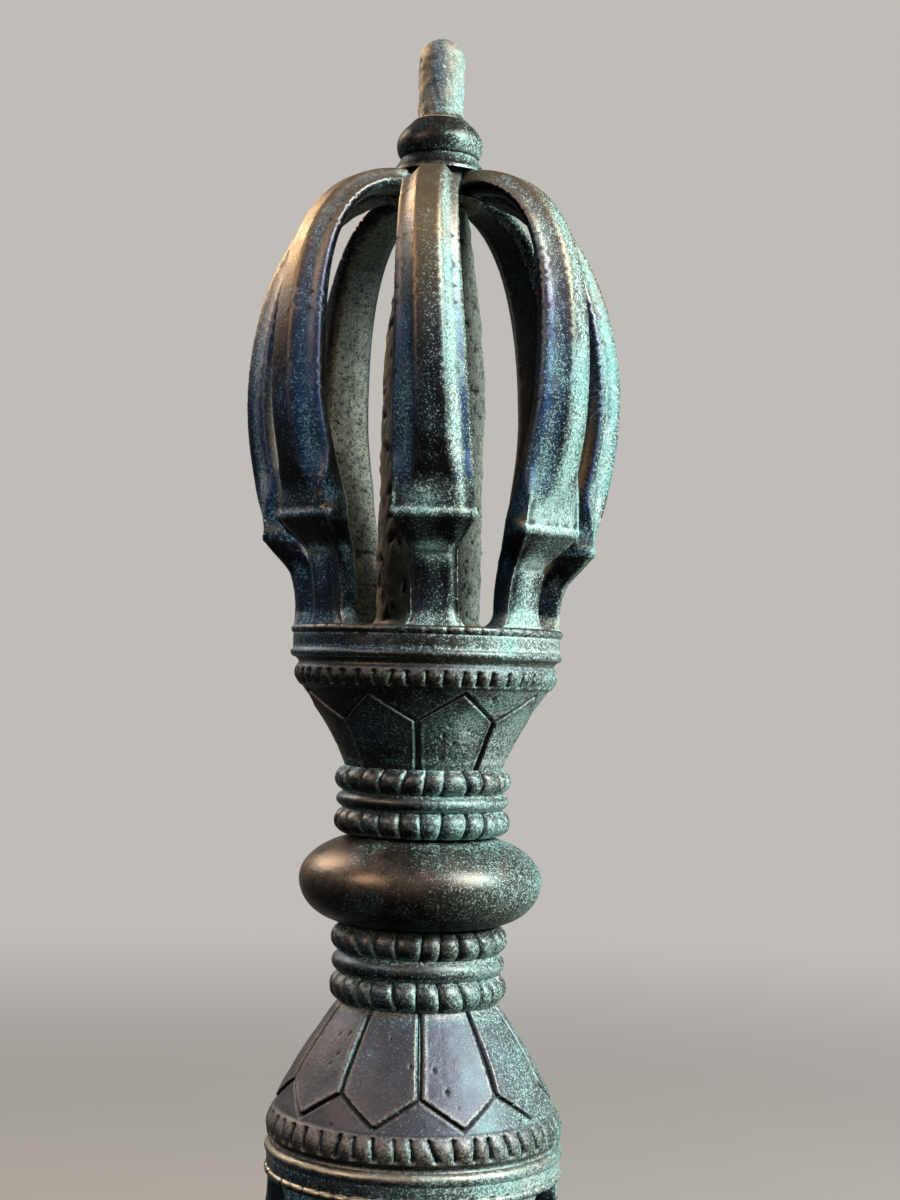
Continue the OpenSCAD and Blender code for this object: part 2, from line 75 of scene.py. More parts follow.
# The outer prongs; the first four lines have a number for each:
PRONG_ANGLES = (3, 45, 88, 129, 173, 218, 264, 311)
PRONG_LEANS = (-7.5, 5.5, 2, 9, 5, -2, 0, -4)
PRONG_BOWS = (0.76, 0.76, 0.62, 0.68, 0.7, 0.72, 0.66, 0.76)
PRONG_LEDGES = (10.7, 9.5, 8.0, 8.4, 8.8, 9.0, 8.9, 10.6)
PRONG_H = 48.7
BELLY_H = 24.3
UNDERCUT_H = 3.4
STEM_INSET = 0.35
LEDGE_OUT = 3.4
STEM_W = 5.0
STEM_T = 3.0
BLADE_W = 8.8
BLADE_TOP_W = 5.8
LEDGE_T = 4.8
BELLY_T = 4.4
CROWN_T = 2.7
RIB_W = 2.4
RIB_LOW_W = 3.3
RIB_H = 0.75
EDGE_DROP = 0.5
FOOT_SPREAD = 0.6
FOOT_H = 1.6
TENON_W = 3.4
TENON_T = 1.4
TENON_H = 2.2
TENON_WALL = 0.7

# The central prongs and the crown collars:
SHAFT_R = 5.5
TAPER_H = 23.0
SHAFT_TOP_R = 3.1
SHAFT_FILLET = 1.2
CROWN_PIN_R = 2.85
FINIAL_R = 2.6
FINIAL_H = 63.8
SPIGOT_L = 10.0
ROD_GRIP = 4.0
CROWN_R = 4.75
CROWN_RING_H = 4.0
CROWN_BELLY_H = 1.4
CROWN_NECK_R = 4.1
HUB_R = 5.05
HUB_FLOOR_R = 4.4
HUB_FLOOR = 0.6
SKIRT_H = 0.3
FLARE_H = 2.0
TONGUE_R = 4.1
CROWN_LAND = 0.3
FIT_GAP = 0.05
TONGUE_GAP = 0.15
TONGUE_Z = PRONG_H - CROWN_T - TONGUE_GAP
HUB_Z = TONGUE_Z - HUB_FLOOR
NECK_Z = PRONG_H + FLARE_H
CROWN_TOP_Z = NECK_Z + CROWN_RING_H
CROWN_ANGLES = tuple(a + b for a, b in zip(PRONG_ANGLES, PRONG_LEANS))
LEAST_STEP = min((b - a) % 360 for a, b in zip(CROWN_ANGLES, CROWN_ANGLES[1:] + CROWN_ANGLES[:1]))

HALVES = {
    "upper": SimpleNamespace(
        low=False, inner_bead_h=2.7, plain_h=1.8, outer_bead_h=2.6, lotus_h=8.4, lotus_r=13.0, swell=-0.45,
        petals=8, turn=18, band_h=2.1, band_r=13.9, cove_h=0.9, rim_r=14.55, lip_d=1.0, cage_r=20.1),
    "lower": SimpleNamespace(
        low=True, inner_bead_h=2.8, plain_h=2.2, outer_bead_h=3.0, lotus_h=11.0, lotus_r=14.6, swell=0.5,
        petals=10, turn=20, band_h=2.8, band_r=15.5, cove_h=0.8, rim_r=15.75, lip_d=1.4, cage_r=21.1),
}
for sizes in HALVES.values():
    sizes.plain_z = BULB_H / 2 + sizes.inner_bead_h
    sizes.outer_bead_z = sizes.plain_z + sizes.plain_h
    sizes.cup_z = sizes.outer_bead_z + sizes.outer_bead_h
    sizes.cup_h = sizes.lotus_h + sizes.band_h + sizes.cove_h
    sizes.disc_z = sizes.cup_z + sizes.cup_h
    sizes.rim_z = sizes.disc_z + RIM_H

# Unevenness of the cast skins: depth and size of the waves, then of the grain.
BULB_SKIN = (0.16, 9.0, 0.04, 0.9)
BEAD_SKIN = (0.26, 3.5, 0.08, 0.8)
PLAIN_SKIN = (0.24, 4.0, 0.06, 0.7)
LOTUS_SKIN = (0.22, 4.5, 0.07, 0.8)
RIM_SKIN = (0.24, 4.0, 0.08, 0.7)
PRONG_SKIN = (0.05, 4.5, 0.03, 0.7)
PRONG_BACK_SKIN = (0.22, 1.1, 0.1, 3.0)
FINIAL_SKIN = (0.2, 1.0, 0.12, 0.5)
CROWN_SKIN = (0.12, 3.0, 0.06, 0.7)


# Seeded noise, so that each run gives the same casting.
def hashed(i, j, k, seed):
    n = (i * 374761393 + j * 668265263 + k * 1440662683 + seed * 974634777) & 0xFFFFFFFF
    n = ((n ^ (n >> 13)) * 1274126177) & 0xFFFFFFFF
    return ((n ^ (n >> 16)) & 0xFFFF) / 65535.0


def noise(points, size, seed):
    q = points / size
    base = np.floor(q).astype(np.int64)
    t = q - base
    t = t * t * (3 - 2 * t)
    total = np.zeros(q.shape[:-1])
    for dx, dy, dz in np.ndindex(2, 2, 2):
        weight = np.abs(1 - dx - t[..., 0]) * np.abs(1 - dy - t[..., 1]) * np.abs(1 - dz - t[..., 2])
        total += weight * hashed(base[..., 0] + dx, base[..., 1] + dy, base[..., 2] + dz, seed)
    return total


def fractal(points, size, seed, octaves=3):
    """Noise from 0 to 1 with finer noise on it."""
    total, weight, whole = 0.0, 1.0, 0.0
    for i in range(octaves):
        total = total + weight * noise(points, size / 2 ** i, seed + i)
        whole += weight
        weight *= 0.55
    return total / whole


def centred(points, size, seed, octaves=3):
    return fractal(points, size, seed, octaves) - 0.5


def cast_skin(points, skin, wave_seed, grain_seed, kind=centred):
    wave, wave_size, grain, grain_size = skin
    return wave * kind(points, wave_size, wave_seed) + grain * kind(points, grain_size, grain_seed)


def ramp(x, low, high):
    """Smoothly from 0 at low to 1 at high."""
    t = np.clip((x - low) / (high - low), 0, 1)
    return t * t * (3 - 2 * t)


def fall(x, low, high):
    """Smoothly from 1 at low to 0 at high."""
    return ramp(-x, -high, -low)


def hump(x, middle, width):
    return np.exp(-((x - middle) / width) ** 2)


def lerp(a, b, t):
    return a + (b - a) * t


# Outlines: corners are softened, then the line is cut into short, even steps.
def soften(points, rounds, share):
    """A closed line with its corners cut off in each round."""
    points = np.asarray(points, float)
    for _ in range(rounds):
        step = np.roll(points, -1, 0) - points
        pair = np.stack([points + step * share, points + step * (1 - share)], 1)
        points = pair.reshape(-1, 2)
    return points


def spaced(points, step):
    """An open line with points no more than a step apart."""
    points = np.asarray(points, float)
    out = []
    for a, b in zip(points[:-1], points[1:]):
        count = max(1, int(math.ceil(np.linalg.norm(b - a) / step)))
        out += [a + (b - a) * i / count for i in range(count)]
    out.append(points[-1])
    return np.array(out)


def evenly(points, count):
    """A closed line cut into a number of equal steps."""
    points = np.vstack([points, points[:1]])
    run = np.concatenate([[0], np.cumsum(np.linalg.norm(np.diff(points, axis=0), axis=1))])
    at = np.linspace(0, run[-1], count, endpoint=False)
    return np.stack([np.interp(at, run, points[:, i]) for i in (0, 1)], 1)


def angles(around):
    return (np.arange(around) * 360.0 / around)[None, :]


def apart(angle, other):
    """Degrees from one angle to another, the shorter way round."""
    return (angle - other + 180) % 360 - 180


def turned(radius, height, around, low=False):
    """Points of a turned form: angle 0 faces the camera and grows towards +X; low turns it upside down."""
    angle = np.arange(around) * 2 * math.pi / around
    radius = np.broadcast_to(radius, (len(radius), around))
    height = np.broadcast_to(height, radius.shape)
    return np.stack([radius * np.sin(angle), -radius * np.cos(angle), -height if low else height], -1)


# A grid of points becomes one closed mesh, with the places of hollows and edges kept for its material.
CLOSE_REACH = 2
WIDE_REACH = 6
SHARP_ANGLE = 62


def blurred(grid, reach, wrap_rows):
    shifts = range(-reach, reach + 1)
    across = sum(np.roll(grid, shift, 1) for shift in shifts) / len(shifts)
    if wrap_rows:
        return sum(np.roll(across, shift, 0) for shift in shifts) / len(shifts)
    row = np.arange(len(grid))
    return sum(across[np.clip(row + shift, 0, len(grid) - 1)] for shift in shifts) / len(shifts)


def grid_normals(grid, wrap_rows):
    across = np.roll(grid, -1, 1) - np.roll(grid, 1, 1)
    along = np.roll(grid, -1, 0) - np.roll(grid, 1, 0) if wrap_rows else np.gradient(grid, axis=0)
    normal = np.cross(across, along)
    length = np.linalg.norm(normal, axis=2, keepdims=True)
    return normal / np.maximum(length, 1e-9)


def dot(a, b):
    return np.einsum("...k,...k->...", a, b)


def grid_quads(rows, around, wrap_rows):
    index = np.arange(rows * around).reshape(rows, around)
    first = index if wrap_rows else index[:-1]
    after = np.roll(index, -1, 0) if wrap_rows else index[1:]
    return np.stack([first, np.roll(first, -1, 1), np.roll(after, -1, 1), after], -1).reshape(-1, 4)


def end_caps(points, around):
    """Middles of the first and the last row, and the triangles that close the grid there."""
    middles, faces = [], []
    for start, flipped in ((0, True), (len(points) - around, False)):
        ring = np.arange(start, start + around)
        middle = len(points) + len(middles)
        middles.append(points[ring].mean(0))
        for a, b in zip(ring.tolist(), np.roll(ring, -1).tolist()):
            faces.append((b, a, middle) if flipped else (a, b, middle))
    return middles, faces


def surface_values(grid, normals, wrap_rows, relief, crevice):
    """Hollows and edges, close ones and wide ones, from 0 to 1."""
    close = dot(blurred(grid, CLOSE_REACH, wrap_rows) - grid, normals) / relief
    wide = dot(blurred(grid, WIDE_REACH, wrap_rows) - grid, normals) / (3 * relief)
    return {"hollow": np.clip(close, 0, 1), "edge": np.clip(-close, 0, 1),
            "sunk": np.clip(np.maximum(wide, crevice), 0, 1), "proud": np.clip(-wide - crevice, 0, 1)}


def placed(name, data):
    made = bpy.data.objects.new(name, data)
    bpy.context.scene.collection.objects.link(made)
    return made


def casting(node, grid, slot, wrap_rows=True, grit=0.0, cove=0.0, crevice=0.0, relief=0.1, paint=None):
    """One visible piece over its node. Grit, cove and crevice: where earth, shade and bloom gather."""
    rows, around = grid.shape[:2]
    points = grid.reshape(-1, 3)
    quads = grid_quads(rows, around, wrap_rows)
    corners = points[quads]
    outward = 1 if dot(corners[:, 0], np.cross(corners[:, 1], corners[:, 2])).sum() > 0 else -1
    faces = [tuple(quad) for quad in quads.tolist()]
    middles = []
    if not wrap_rows:
        middles, caps = end_caps(points, around)
        points = np.vstack([points, middles])
        faces += caps
    name = node + "_casting"
    mesh = bpy.data.meshes.new(name)
    mesh.from_pydata((points * MM).tolist(), [], [face[::outward] for face in faces])
    mesh.validate()
    values = surface_values(grid, grid_normals(grid, wrap_rows) * outward, wrap_rows, relief, crevice)
    for key, value in dict(values, grit=grit, cove=cove).items():
        value = np.broadcast_to(value, (rows, around)).reshape(-1)
        attribute = mesh.attributes.new(key, "FLOAT", "POINT")
        value = np.concatenate([value, np.zeros(len(middles))])
        attribute.data.foreach_set("value", value.astype(np.float32))
    mesh.shade_smooth()
    mesh.set_sharp_from_angle(angle=math.radians(SHARP_ANGLE))
    mesh.materials.append(MATERIALS[paint or slot])
    piece = placed(name, mesh)
    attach(piece, "root")
    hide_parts(node)


# Materials: dark metal with brown and blue casts, worn edges and a powdery green bloom, with painted shade
# and painted highlights.
def colour(*screen):
    """A colour written in screen values from 0 to 255, as the shader needs it."""
    shares = [v / 255.0 for v in screen]
    return tuple(v / 12.92 if v <= 0.04045 else ((v + 0.055) / 1.055) ** 2.4 for v in shares) + (1.0,)


NAVY = colour(20, 45, 82)
# Painted shade: the near-blacks for downward faces, left sides and slits stand in for shade; the rubbed
# colour is wear.
SHADOW = colour(9, 9, 10)
RUBBED = colour(122, 120, 108)
LEFT_SHADE = colour(8, 9, 11)
UNDER_SHADE = colour(6, 6, 7)
SLIT_SHADE = colour(10, 10, 11)
TEAL_VEIL = colour(108, 142, 136)
BLUE_VEIL = colour(40, 66, 88)
PALE_MINT = colour(186, 198, 190)
MINT = colour(142, 182, 175)
TURQUOISE = colour(92, 156, 154)
PALE_BLUE = colour(96, 138, 160)
SHADED_CRUST = colour(24, 21, 18)
OLIVE = colour(66, 64, 50)
EARTH = colour(34, 29, 24)

# Noise in cycles to the metre, then the bump's depth in metres and the most bloom.
PATCH_SCALE = 120.0
BLOTCH_SCALE = 520.0
LUMP_SCALE = 1500.0
FINE_SCALE = 3600.0
DUST_SCALE = 8200.0
BUMP_DEPTH = 0.0001
MOST_BLOOM = 0.72


class Tree:
    """Short calls that fill the node tree of a material or a world."""

    def __init__(self, owner):
        owner.use_nodes = True
        self.nodes = owner.node_tree.nodes
        self.links = owner.node_tree.links
        self.nodes.clear()

    def add(self, kind, inputs=None, **settings):
        made = self.nodes.new("ShaderNode" + kind)
        for key, value in settings.items():
            setattr(made, key, value)
        for key, value in (inputs or {}).items():
            socket = made.inputs[key]
            if isinstance(value, bpy.types.NodeSocket):
                self.links.new(value, socket)
            else:
                socket.default_value = value
        return made

    def math(self, operation, a, b, clamp=False):
        return self.add("Math", {0: a, 1: b}, operation=operation, use_clamp=clamp).outputs[0]

    def times(self, a, b, clamp=False):
        return self.math("MULTIPLY", a, b, clamp)

    def plus(self, a, b, clamp=False):
        return self.math("ADD", a, b, clamp)

    def without(self, value, share=1.0):
        """What is left of 1 when a share of the value is taken off."""
        return self.math("SUBTRACT", 1.0, self.times(value, share))

    def span(self, value, low, high, start=0.0, end=1.0):
        made = self.add("MapRange", {0: value, 1: low, 2: high, 3: start, 4: end},
                        interpolation_type="SMOOTHSTEP")
        return made.outputs[0]

    def mix(self, share, a, b):
        return self.add("Mix", {0: share, 6: a, 7: b}, data_type="RGBA").outputs[2]

    def noise(self, where, scale, detail, rough=0.55, warp=0.0):
        made = self.add("TexNoise", {"Vector": where, "Scale": scale, "Detail": detail,
                                               "Roughness": rough, "Distortion": warp})
        return made.outputs[0]


class Skin:
    """What a patina reads: the casting's attributes, noises, directions and places."""

    def __init__(self, tree):
        where = tree.add("TexCoord").outputs["Object"]
        normal = tree.add("NewGeometry").outputs["Normal"]
        facing = tree.add("SeparateXYZ", {0: normal}).outputs
        for key in ("hollow", "edge", "sunk", "proud", "grit", "cove"):
            setattr(self, key, tree.add("Attribute", attribute_name=key).outputs["Fac"])
        self.patch = tree.span(tree.noise(where, PATCH_SCALE, 3.0, 0.6, 0.4), 0.32, 0.68)
        self.blotch = tree.span(tree.noise(where, BLOTCH_SCALE, 4.0, 0.65), 0.3, 0.7)
        self.lump = tree.noise(where, LUMP_SCALE, 3.0, 0.6)
        self.fine = tree.noise(where, FINE_SCALE, 3.0, 0.7)
        self.dust = tree.noise(where, DUST_SCALE, 2.0, 0.7)
        self.speck = tree.span(tree.plus(tree.times(self.fine, 0.5), tree.times(self.dust, 0.5)), 0.36, 0.66)
        self.across, self.up = facing["X"], facing["Z"]
        self.right = tree.span(self.across, -0.15, 0.8)
        self.left = tree.span(self.across, 0.25, -0.6)
        self.place = tree.add("SeparateXYZ", {0: where}).outputs["X"]
        self.near_left = tree.span(self.place, -0.003, -0.012)
        self.shade = tree.times(self.cove, tree.span(self.across, 0.7, 0.38))


def metal_colour(tree, skin, look):
    """Blotched metal with blue casts and rubbed edges; painted shade darkens left sides and undersides, and
    a painted highlight lightens upper faces.
    """
    base = tree.mix(skin.blotch, look.dark, look.warm)
    # Painted shade: faces turned down darken towards a near black.
    base = tree.mix(tree.span(skin.up, 0.4, -0.45, 0.0, 0.75), base, SHADOW)
    # Blue patina in patches and hollows, heavier on left-facing sides and in coves turned from the right:
    # partly painted shade.
    turned_away = tree.times(tree.plus(tree.times(skin.left, 0.8), 0.2), look.blue)
    clouds = tree.plus(tree.times(skin.patch, 0.8), tree.times(skin.sunk, 0.6))
    blue = tree.plus(tree.times(turned_away, clouds), tree.times(skin.shade, 0.8), clamp=True)
    base = tree.mix(blue, base, NAVY)
    rubbed = tree.plus(tree.times(skin.edge, look.worn), tree.times(skin.proud, look.crest))
    base = tree.mix(tree.times(rubbed, tree.span(skin.fine, 0.35, 0.6), clamp=True), base, RUBBED)
    # Painted shade: left-facing sides darken towards a near black.
    base = tree.mix(tree.times(skin.left, look.dim_left), base, LEFT_SHADE)
    # Painted shade: undersides that don't face right go almost black.
    under_shade = tree.times(tree.span(skin.up, 0.1, -0.4, 0.0, 0.88), tree.without(skin.right))
    base = tree.mix(under_shade, base, UNDER_SHADE)
    # Painted highlight: faces turned up lighten towards a pale tint, as if lit from above; less so in
    # hollows at the left.
    top_light = tree.span(skin.up, -0.02, 0.45, 0.0, look.polish)
    top_light = tree.times(top_light, tree.without(tree.times(skin.sunk, skin.near_left)))
    return tree.mix(top_light, base, look.polished)


def bloom_amount(tree, skin, look):
    """How much bloom there is: most in hollows and on right sides, where it is partly painted light from the
    right lamp; least on what stands out.
    """
    # Bloom on right-facing sides and at the right of the piece: patina, and partly painted light from the
    # right lamp.
    side = tree.times(tree.times(skin.right, look.bloom_side), tree.without(skin.proud, 0.35))
    side = tree.times(side, tree.span(skin.near_left, 0.0, 1.0, 1.0, 0.4))
    side = tree.times(side, tree.span(skin.up, 0.0, 0.6, 1.0, 0.55))
    side = tree.plus(side, tree.span(skin.place, 0.006, 0.02, 0.0, 0.08))
    side = tree.times(side, tree.without(skin.shade, 0.8))
    amount = tree.plus(side, tree.span(skin.near_left, 0.0, 1.0, look.bloom + 0.05, look.bloom))
    gathered = tree.span(skin.right, 0.0, 1.0, look.gather, 0.15 + 0.5 * look.gather)
    amount = tree.plus(amount, tree.times(skin.sunk, gathered))
    in_cove = tree.plus(tree.times(skin.left, 0.15), 0.03)
    amount = tree.plus(amount, tree.times(skin.shade, in_cove))
    amount = tree.math("SUBTRACT", amount, tree.times(skin.proud, 0.12))
    amount = tree.plus(amount, tree.times(tree.math("SUBTRACT", skin.patch, 0.5), 0.26))
    amount = tree.plus(amount, tree.times(tree.times(skin.grit, skin.right), 0.2), clamp=True)
    return tree.math("MINIMUM", amount, MOST_BLOOM)


def bloom_colours(tree, skin):
    """Colours of the veil and of the powder on it: blue at the left, greener and paler towards the right,
    partly painted light from the right lamp.
    """
    bluish = tree.math("MAXIMUM", skin.left, skin.near_left)
    veil = tree.mix(bluish, TEAL_VEIL, BLUE_VEIL)
    mint = tree.mix(skin.patch, PALE_MINT, MINT)
    far_right = tree.times(tree.span(skin.place, 0.011, 0.019, 0.0, 0.7), skin.blotch)
    mint = tree.mix(far_right, mint, TURQUOISE)
    return veil, tree.mix(bluish, mint, PALE_BLUE)


def earth_colour(tree, skin, look):
    """Lumpy earth on rough inner faces, with painted light: paler on faces turned to the right lamp, darker
    on faces turned away.
    """
    crust = tree.mix(tree.span(skin.across, -0.25, 0.5), SHADED_CRUST, look.soil)
    crust = tree.mix(tree.times(tree.without(skin.blotch), 0.5), crust, OLIVE)
    lumpy = tree.plus(tree.times(skin.fine, 0.6), tree.times(skin.lump, 0.4))
    return tree.mix(tree.span(lumpy, 0.36, 0.56), EARTH, crust)


def bronze(name, look):
    material = bpy.data.materials.new(name)
    tree = Tree(material)
    skin = Skin(tree)
    amount = bloom_amount(tree, skin, look)
    powder = tree.span(tree.math("SUBTRACT", skin.speck, tree.without(amount)), -0.2, 0.4)
    veil = tree.times(tree.math("POWER", amount, 1.6), 1.2, clamp=True)
    veil_colour, powder_colour = bloom_colours(tree, skin)
    # Painted shade: deep narrow hollows such as the cuts go nearly black and lose their shine.
    slit_shade = tree.times(tree.span(skin.hollow, 0.15, 0.9), 0.85)
    base = tree.mix(veil, metal_colour(tree, skin, look), veil_colour)
    base = tree.mix(powder, base, powder_colour)
    base = tree.mix(tree.times(skin.grit, 0.9), base, earth_colour(tree, skin, look))
    base = tree.mix(slit_shade, base, SLIT_SHADE)

    metal = tree.times(tree.without(powder), look.metal)
    metal = tree.times(metal, tree.without(skin.grit, 0.8))
    metal = tree.times(metal, tree.without(slit_shade))
    rough = tree.plus(tree.times(powder, 0.3), tree.plus(tree.times(skin.blotch, 0.1), look.rough))
    rough = tree.plus(rough, tree.times(skin.grit, 0.25), clamp=True)
    height = tree.plus(tree.times(skin.fine, 0.7), tree.times(powder, 0.35))
    height = tree.plus(height, tree.times(skin.dust, 0.3))
    bump = tree.add("Bump", {"Strength": look.grain, "Distance": BUMP_DEPTH, "Height": height})
    shader = tree.add("BsdfPrincipled", {
        "Base Color": base, "Metallic": metal, "Roughness": rough, "Normal": bump.outputs[0],
        "Specular IOR Level": 0.3, "Specular Tint": (0.5, 0.5, 0.5, 1.0)})
    tree.add("OutputMaterial", {0: shader.outputs[0]})
    return material


# What sets the bronzes apart. A look has these values where it doesn't name its own.
USUAL_LOOK = dict(bloom=0.08, grain=0.5, metal=0.85, worn=0.3, crest=0.0, polish=0.0,
                  polished=colour(126, 132, 140), dim_left=0.65, gather=0.14, soil=colour(150, 154, 138))
LOOKS = {
    "bulb_bronze": dict(
        dark=colour(40, 37, 34), warm=colour(70, 57, 46), blue=0.1, bloom_side=0.43,
        rough=0.3, grain=0.3, polish=0.05, dim_left=0.0),
    "neck_bronze": dict(
        dark=colour(40, 44, 48), warm=colour(76, 72, 64), blue=1.0, bloom_side=0.5,
        rough=0.33, worn=0.6, crest=0.25, polish=0.08, gather=0.4),
    "lotus_bronze": dict(
        dark=colour(34, 35, 40), warm=colour(52, 51, 56), blue=0.45, bloom=0.0, bloom_side=0.55,
        rough=0.45, worn=0.5, crest=0.75, polish=0.14, polished=colour(120, 124, 142), gather=0.2),
    "rim_bronze": dict(
        dark=colour(40, 42, 46), warm=colour(70, 67, 62), blue=0.6, bloom_side=0.55,
        rough=0.33, worn=0.6, crest=0.6, polish=0.5, polished=colour(162, 153, 138),
        dim_left=0.8, gather=0.22),
    "prong_bronze": dict(
        dark=colour(15, 18, 21), warm=colour(32, 31, 31), blue=1.0, bloom=0.085, bloom_side=0.6,
        rough=0.34, metal=0.9, grain=0.6, worn=0.15, polish=0.5, polished=colour(152, 134, 106),
        dim_left=0.5, gather=0.42, soil=colour(184, 188, 170)),
    "shaft_bronze": dict(
        dark=colour(96, 84, 68), warm=colour(170, 150, 118), blue=0.1, bloom=0.25, bloom_side=0.42,
        rough=0.5, metal=0.5, grain=0.9, dim_left=0.0, soil=colour(128, 132, 118)),
    "crown_bronze": dict(
        dark=colour(26, 26, 27), warm=colour(52, 48, 44), blue=0.45, bloom=0.06, bloom_side=0.46,
        rough=0.32, grain=0.35, worn=0.5),
    "core_bronze": dict(
        dark=colour(110, 90, 60), warm=colour(140, 116, 78), blue=0.0, bloom=0.05, bloom_side=0.05,
        rough=0.45, metal=0.9, grain=0.3),
}
MATERIALS = {name: bronze(name, SimpleNamespace(**{**USUAL_LOOK, **own})) for name, own in LOOKS.items()}


# The neck: the bulb, the beaded rings and the plain rings.
RING_STEPS = 34
RING_FACE_R = 7.4
RING_EDGE_R = 8.6
BEAD_STEPS = 18
PLAIN_STEPS = 300
BEAD_DROP = 0.9
BEAD_POWER = 2.4
PLAIN_DROP = 0.75
PLAIN_POWER = 2.1


def tool_marks(count, seed, wander, lean, spread, shallow, deep):
    """Shift, lean and depth of each mark cut by hand, drawn in this order."""
    rng = np.random.default_rng(seed)
    shift = rng.normal(0, wander, count) * (360.0 / count)
    return shift, rng.normal(lean, spread, count), rng.uniform(shallow, deep, count)


def make_bulb():
    rows, around, seed = 84, 240, 11
    seam_r, clean_r, even_r = 8.6, 10.2, 9.0
    swing = np.radians(np.linspace(-90, 90, rows))
    fullness = np.where(swing > 0, BULB_TOP_FULLNESS, BULB_LOW_FULLNESS)
    radius = BULB_FLAT_R + (BULB_R - BULB_FLAT_R) * np.maximum(0, np.cos(swing)) ** fullness
    bore = spaced([[ROD_BORE_R, BULB_H / 2], [ROD_BORE_R, -BULB_H / 2]], 2.0)
    outline = np.vstack([np.stack([radius, BULB_H / 2 * np.sin(swing)], 1), bore])
    radius, height = np.hsplit(outline, 2)
    outer = (np.arange(len(outline)) < rows)[:, None]
    sink = cast_skin(turned(radius, height, around), BULB_SKIN, seed, seed + 1)
    uneven = radius - np.where(outer, sink * ramp(radius, BULB_FLAT_R, even_r), 0)
    seam = fall(radius, seam_r, clean_r)
    casting("bulb", turned(uneven, height, around), "bulb_bronze", crevice=seam)


def ring_outline(radius, height, drop, power):
    """From the bore, round a swelling edge."""
    t = np.linspace(-1, 1, RING_STEPS)
    edge = np.stack([radius - drop * np.abs(t) ** power, height * (t + 1) / 2], 1)
    bore = spaced([[ROD_BORE_R, height], [ROD_BORE_R, 0]], 1.5)
    bottom = spaced([[ROD_BORE_R, 0], edge[0]], 1.0)
    top = spaced([edge[-1], [ROD_BORE_R, height]], 1.0)
    return np.vstack([bottom[:-1], edge, top[1:-1], bore[:-1]])


def bead_cuts(rise, around, seed):
    """Depth of the cuts between the beads: a sharp line in a round dip."""
    line_depth, line_w, dip_depth, dip_w = 0.8 * BEAD_NICK, 0.16, 0.3, 0.55
    shift, lean, deep = tool_marks(BEAD_COUNT, seed, wander=0.07, lean=0.6, spread=0.8,
                                   shallow=0.55, deep=1.1)
    cut = np.zeros((len(rise), around))
    for i in range(BEAD_COUNT):
        away = apart(angles(around) - i * 360.0 / BEAD_COUNT - shift[i], lean[i] * rise)
        across = np.radians(away) * BEAD_RING_R
        profile = line_depth * hump(across, 0, line_w) + dip_depth * hump(across, 0, dip_w)
        cut = np.maximum(cut, deep[i] * profile)
    return cut


def finish_ring(name, outline, base, low, sink, seam_start):
    """A ring with skin and cuts sunk into its edge; bloom gathers where it meets its neighbours."""
    radius, z = np.hsplit(outline, 2)
    uneven = radius - ramp(radius, RING_FACE_R, RING_EDGE_R) * sink
    middle = z.max() / 2
    seam = ramp(np.abs(z - middle) / middle, seam_start, 1.0)
    casting(name, turned(uneven, base + z, sink.shape[1], low), "neck_bronze", crevice=seam)


def make_bead_ring(name, base, height, low, seed):
    around = BEAD_COUNT * BEAD_STEPS
    outline = ring_outline(BEAD_RING_R, height, BEAD_DROP, BEAD_POWER)
    radius, z = np.hsplit(outline, 2)
    sink = cast_skin(turned(radius, z, around), BEAD_SKIN, seed, seed + 5)
    finish_ring(name, outline, base, low, bead_cuts(z - height / 2, around, seed) + sink, 0.6)


def make_plain_ring(name, base, height, low, seed):
    outline = ring_outline(PLAIN_RING_R, height, PLAIN_DROP, PLAIN_POWER)
    grid = turned(*np.hsplit(outline, 2), PLAIN_STEPS)
    finish_ring(name, outline, base, low, cast_skin(grid, PLAIN_SKIN, seed, seed + 5), 0.5)


# The lotus cup: petals with raised lips and cut grooves, the nicked band and the cove.
NICK_STEPS = 12
PIT_COUNT = 70
PIT_LEAST_R = 0.1
PIT_MOST_R = 0.24
BAND_BEAD = 0.26


def cone_radius(half, z):
    t = np.clip(z / half.lotus_h, 0, 1)
    return lerp(WAIST_R, half.lotus_r, t) + half.swell * np.sin(math.pi * t)


def petal_relief(half, z, angle):
    """Height of the petals over the cone, from the distance to the nearest petal's edge."""
    tip = half.lotus_h - PETAL_TIP_GAP
    wide = tip - PETAL_POINT_H
    pitch = 360.0 / half.petals
    away = (angle - half.turn + pitch / 2) % pitch - pitch / 2
    across = np.radians(np.abs(away)) * cone_radius(half, z)
    lean = math.sin(math.pi / half.petals)
    foot_w = cone_radius(half, 0) * lean - PETAL_GAP / 2
    wide_w = cone_radius(half, wide) * lean - PETAL_GAP / 2
    slant = math.hypot(1, (half.lotus_r - WAIST_R) / half.lotus_h)
    side = (lerp(foot_w, wide_w, z / wide) - across) * math.cos(math.atan2(wide_w - foot_w, wide * slant))
    point_w = wide_w * (tip - z) / PETAL_POINT_H
    point = (point_w - across) * math.cos(math.atan2(wide_w, PETAL_POINT_H * slant))
    inside = np.minimum(side, point)
    plateau = PETAL_RAISE * ramp(inside, -0.18, 0.06)
    lip = 0.09 * hump(inside, 0.22, 0.2)
    groove = 0.22 * hump(inside, -0.14, 0.1)
    panel = 0.2 * ramp(-inside, 0.2, 0.5) + 0.05 * hump(inside, -0.5, 0.2)
    dish = 0.06 * ramp(inside, 0.4, 2.0)
    return plateau + lip - groove + panel - dish


def nearest_mark(angle, count):
    return np.floor(angle * count / 360.0 + 0.5).astype(int) % count


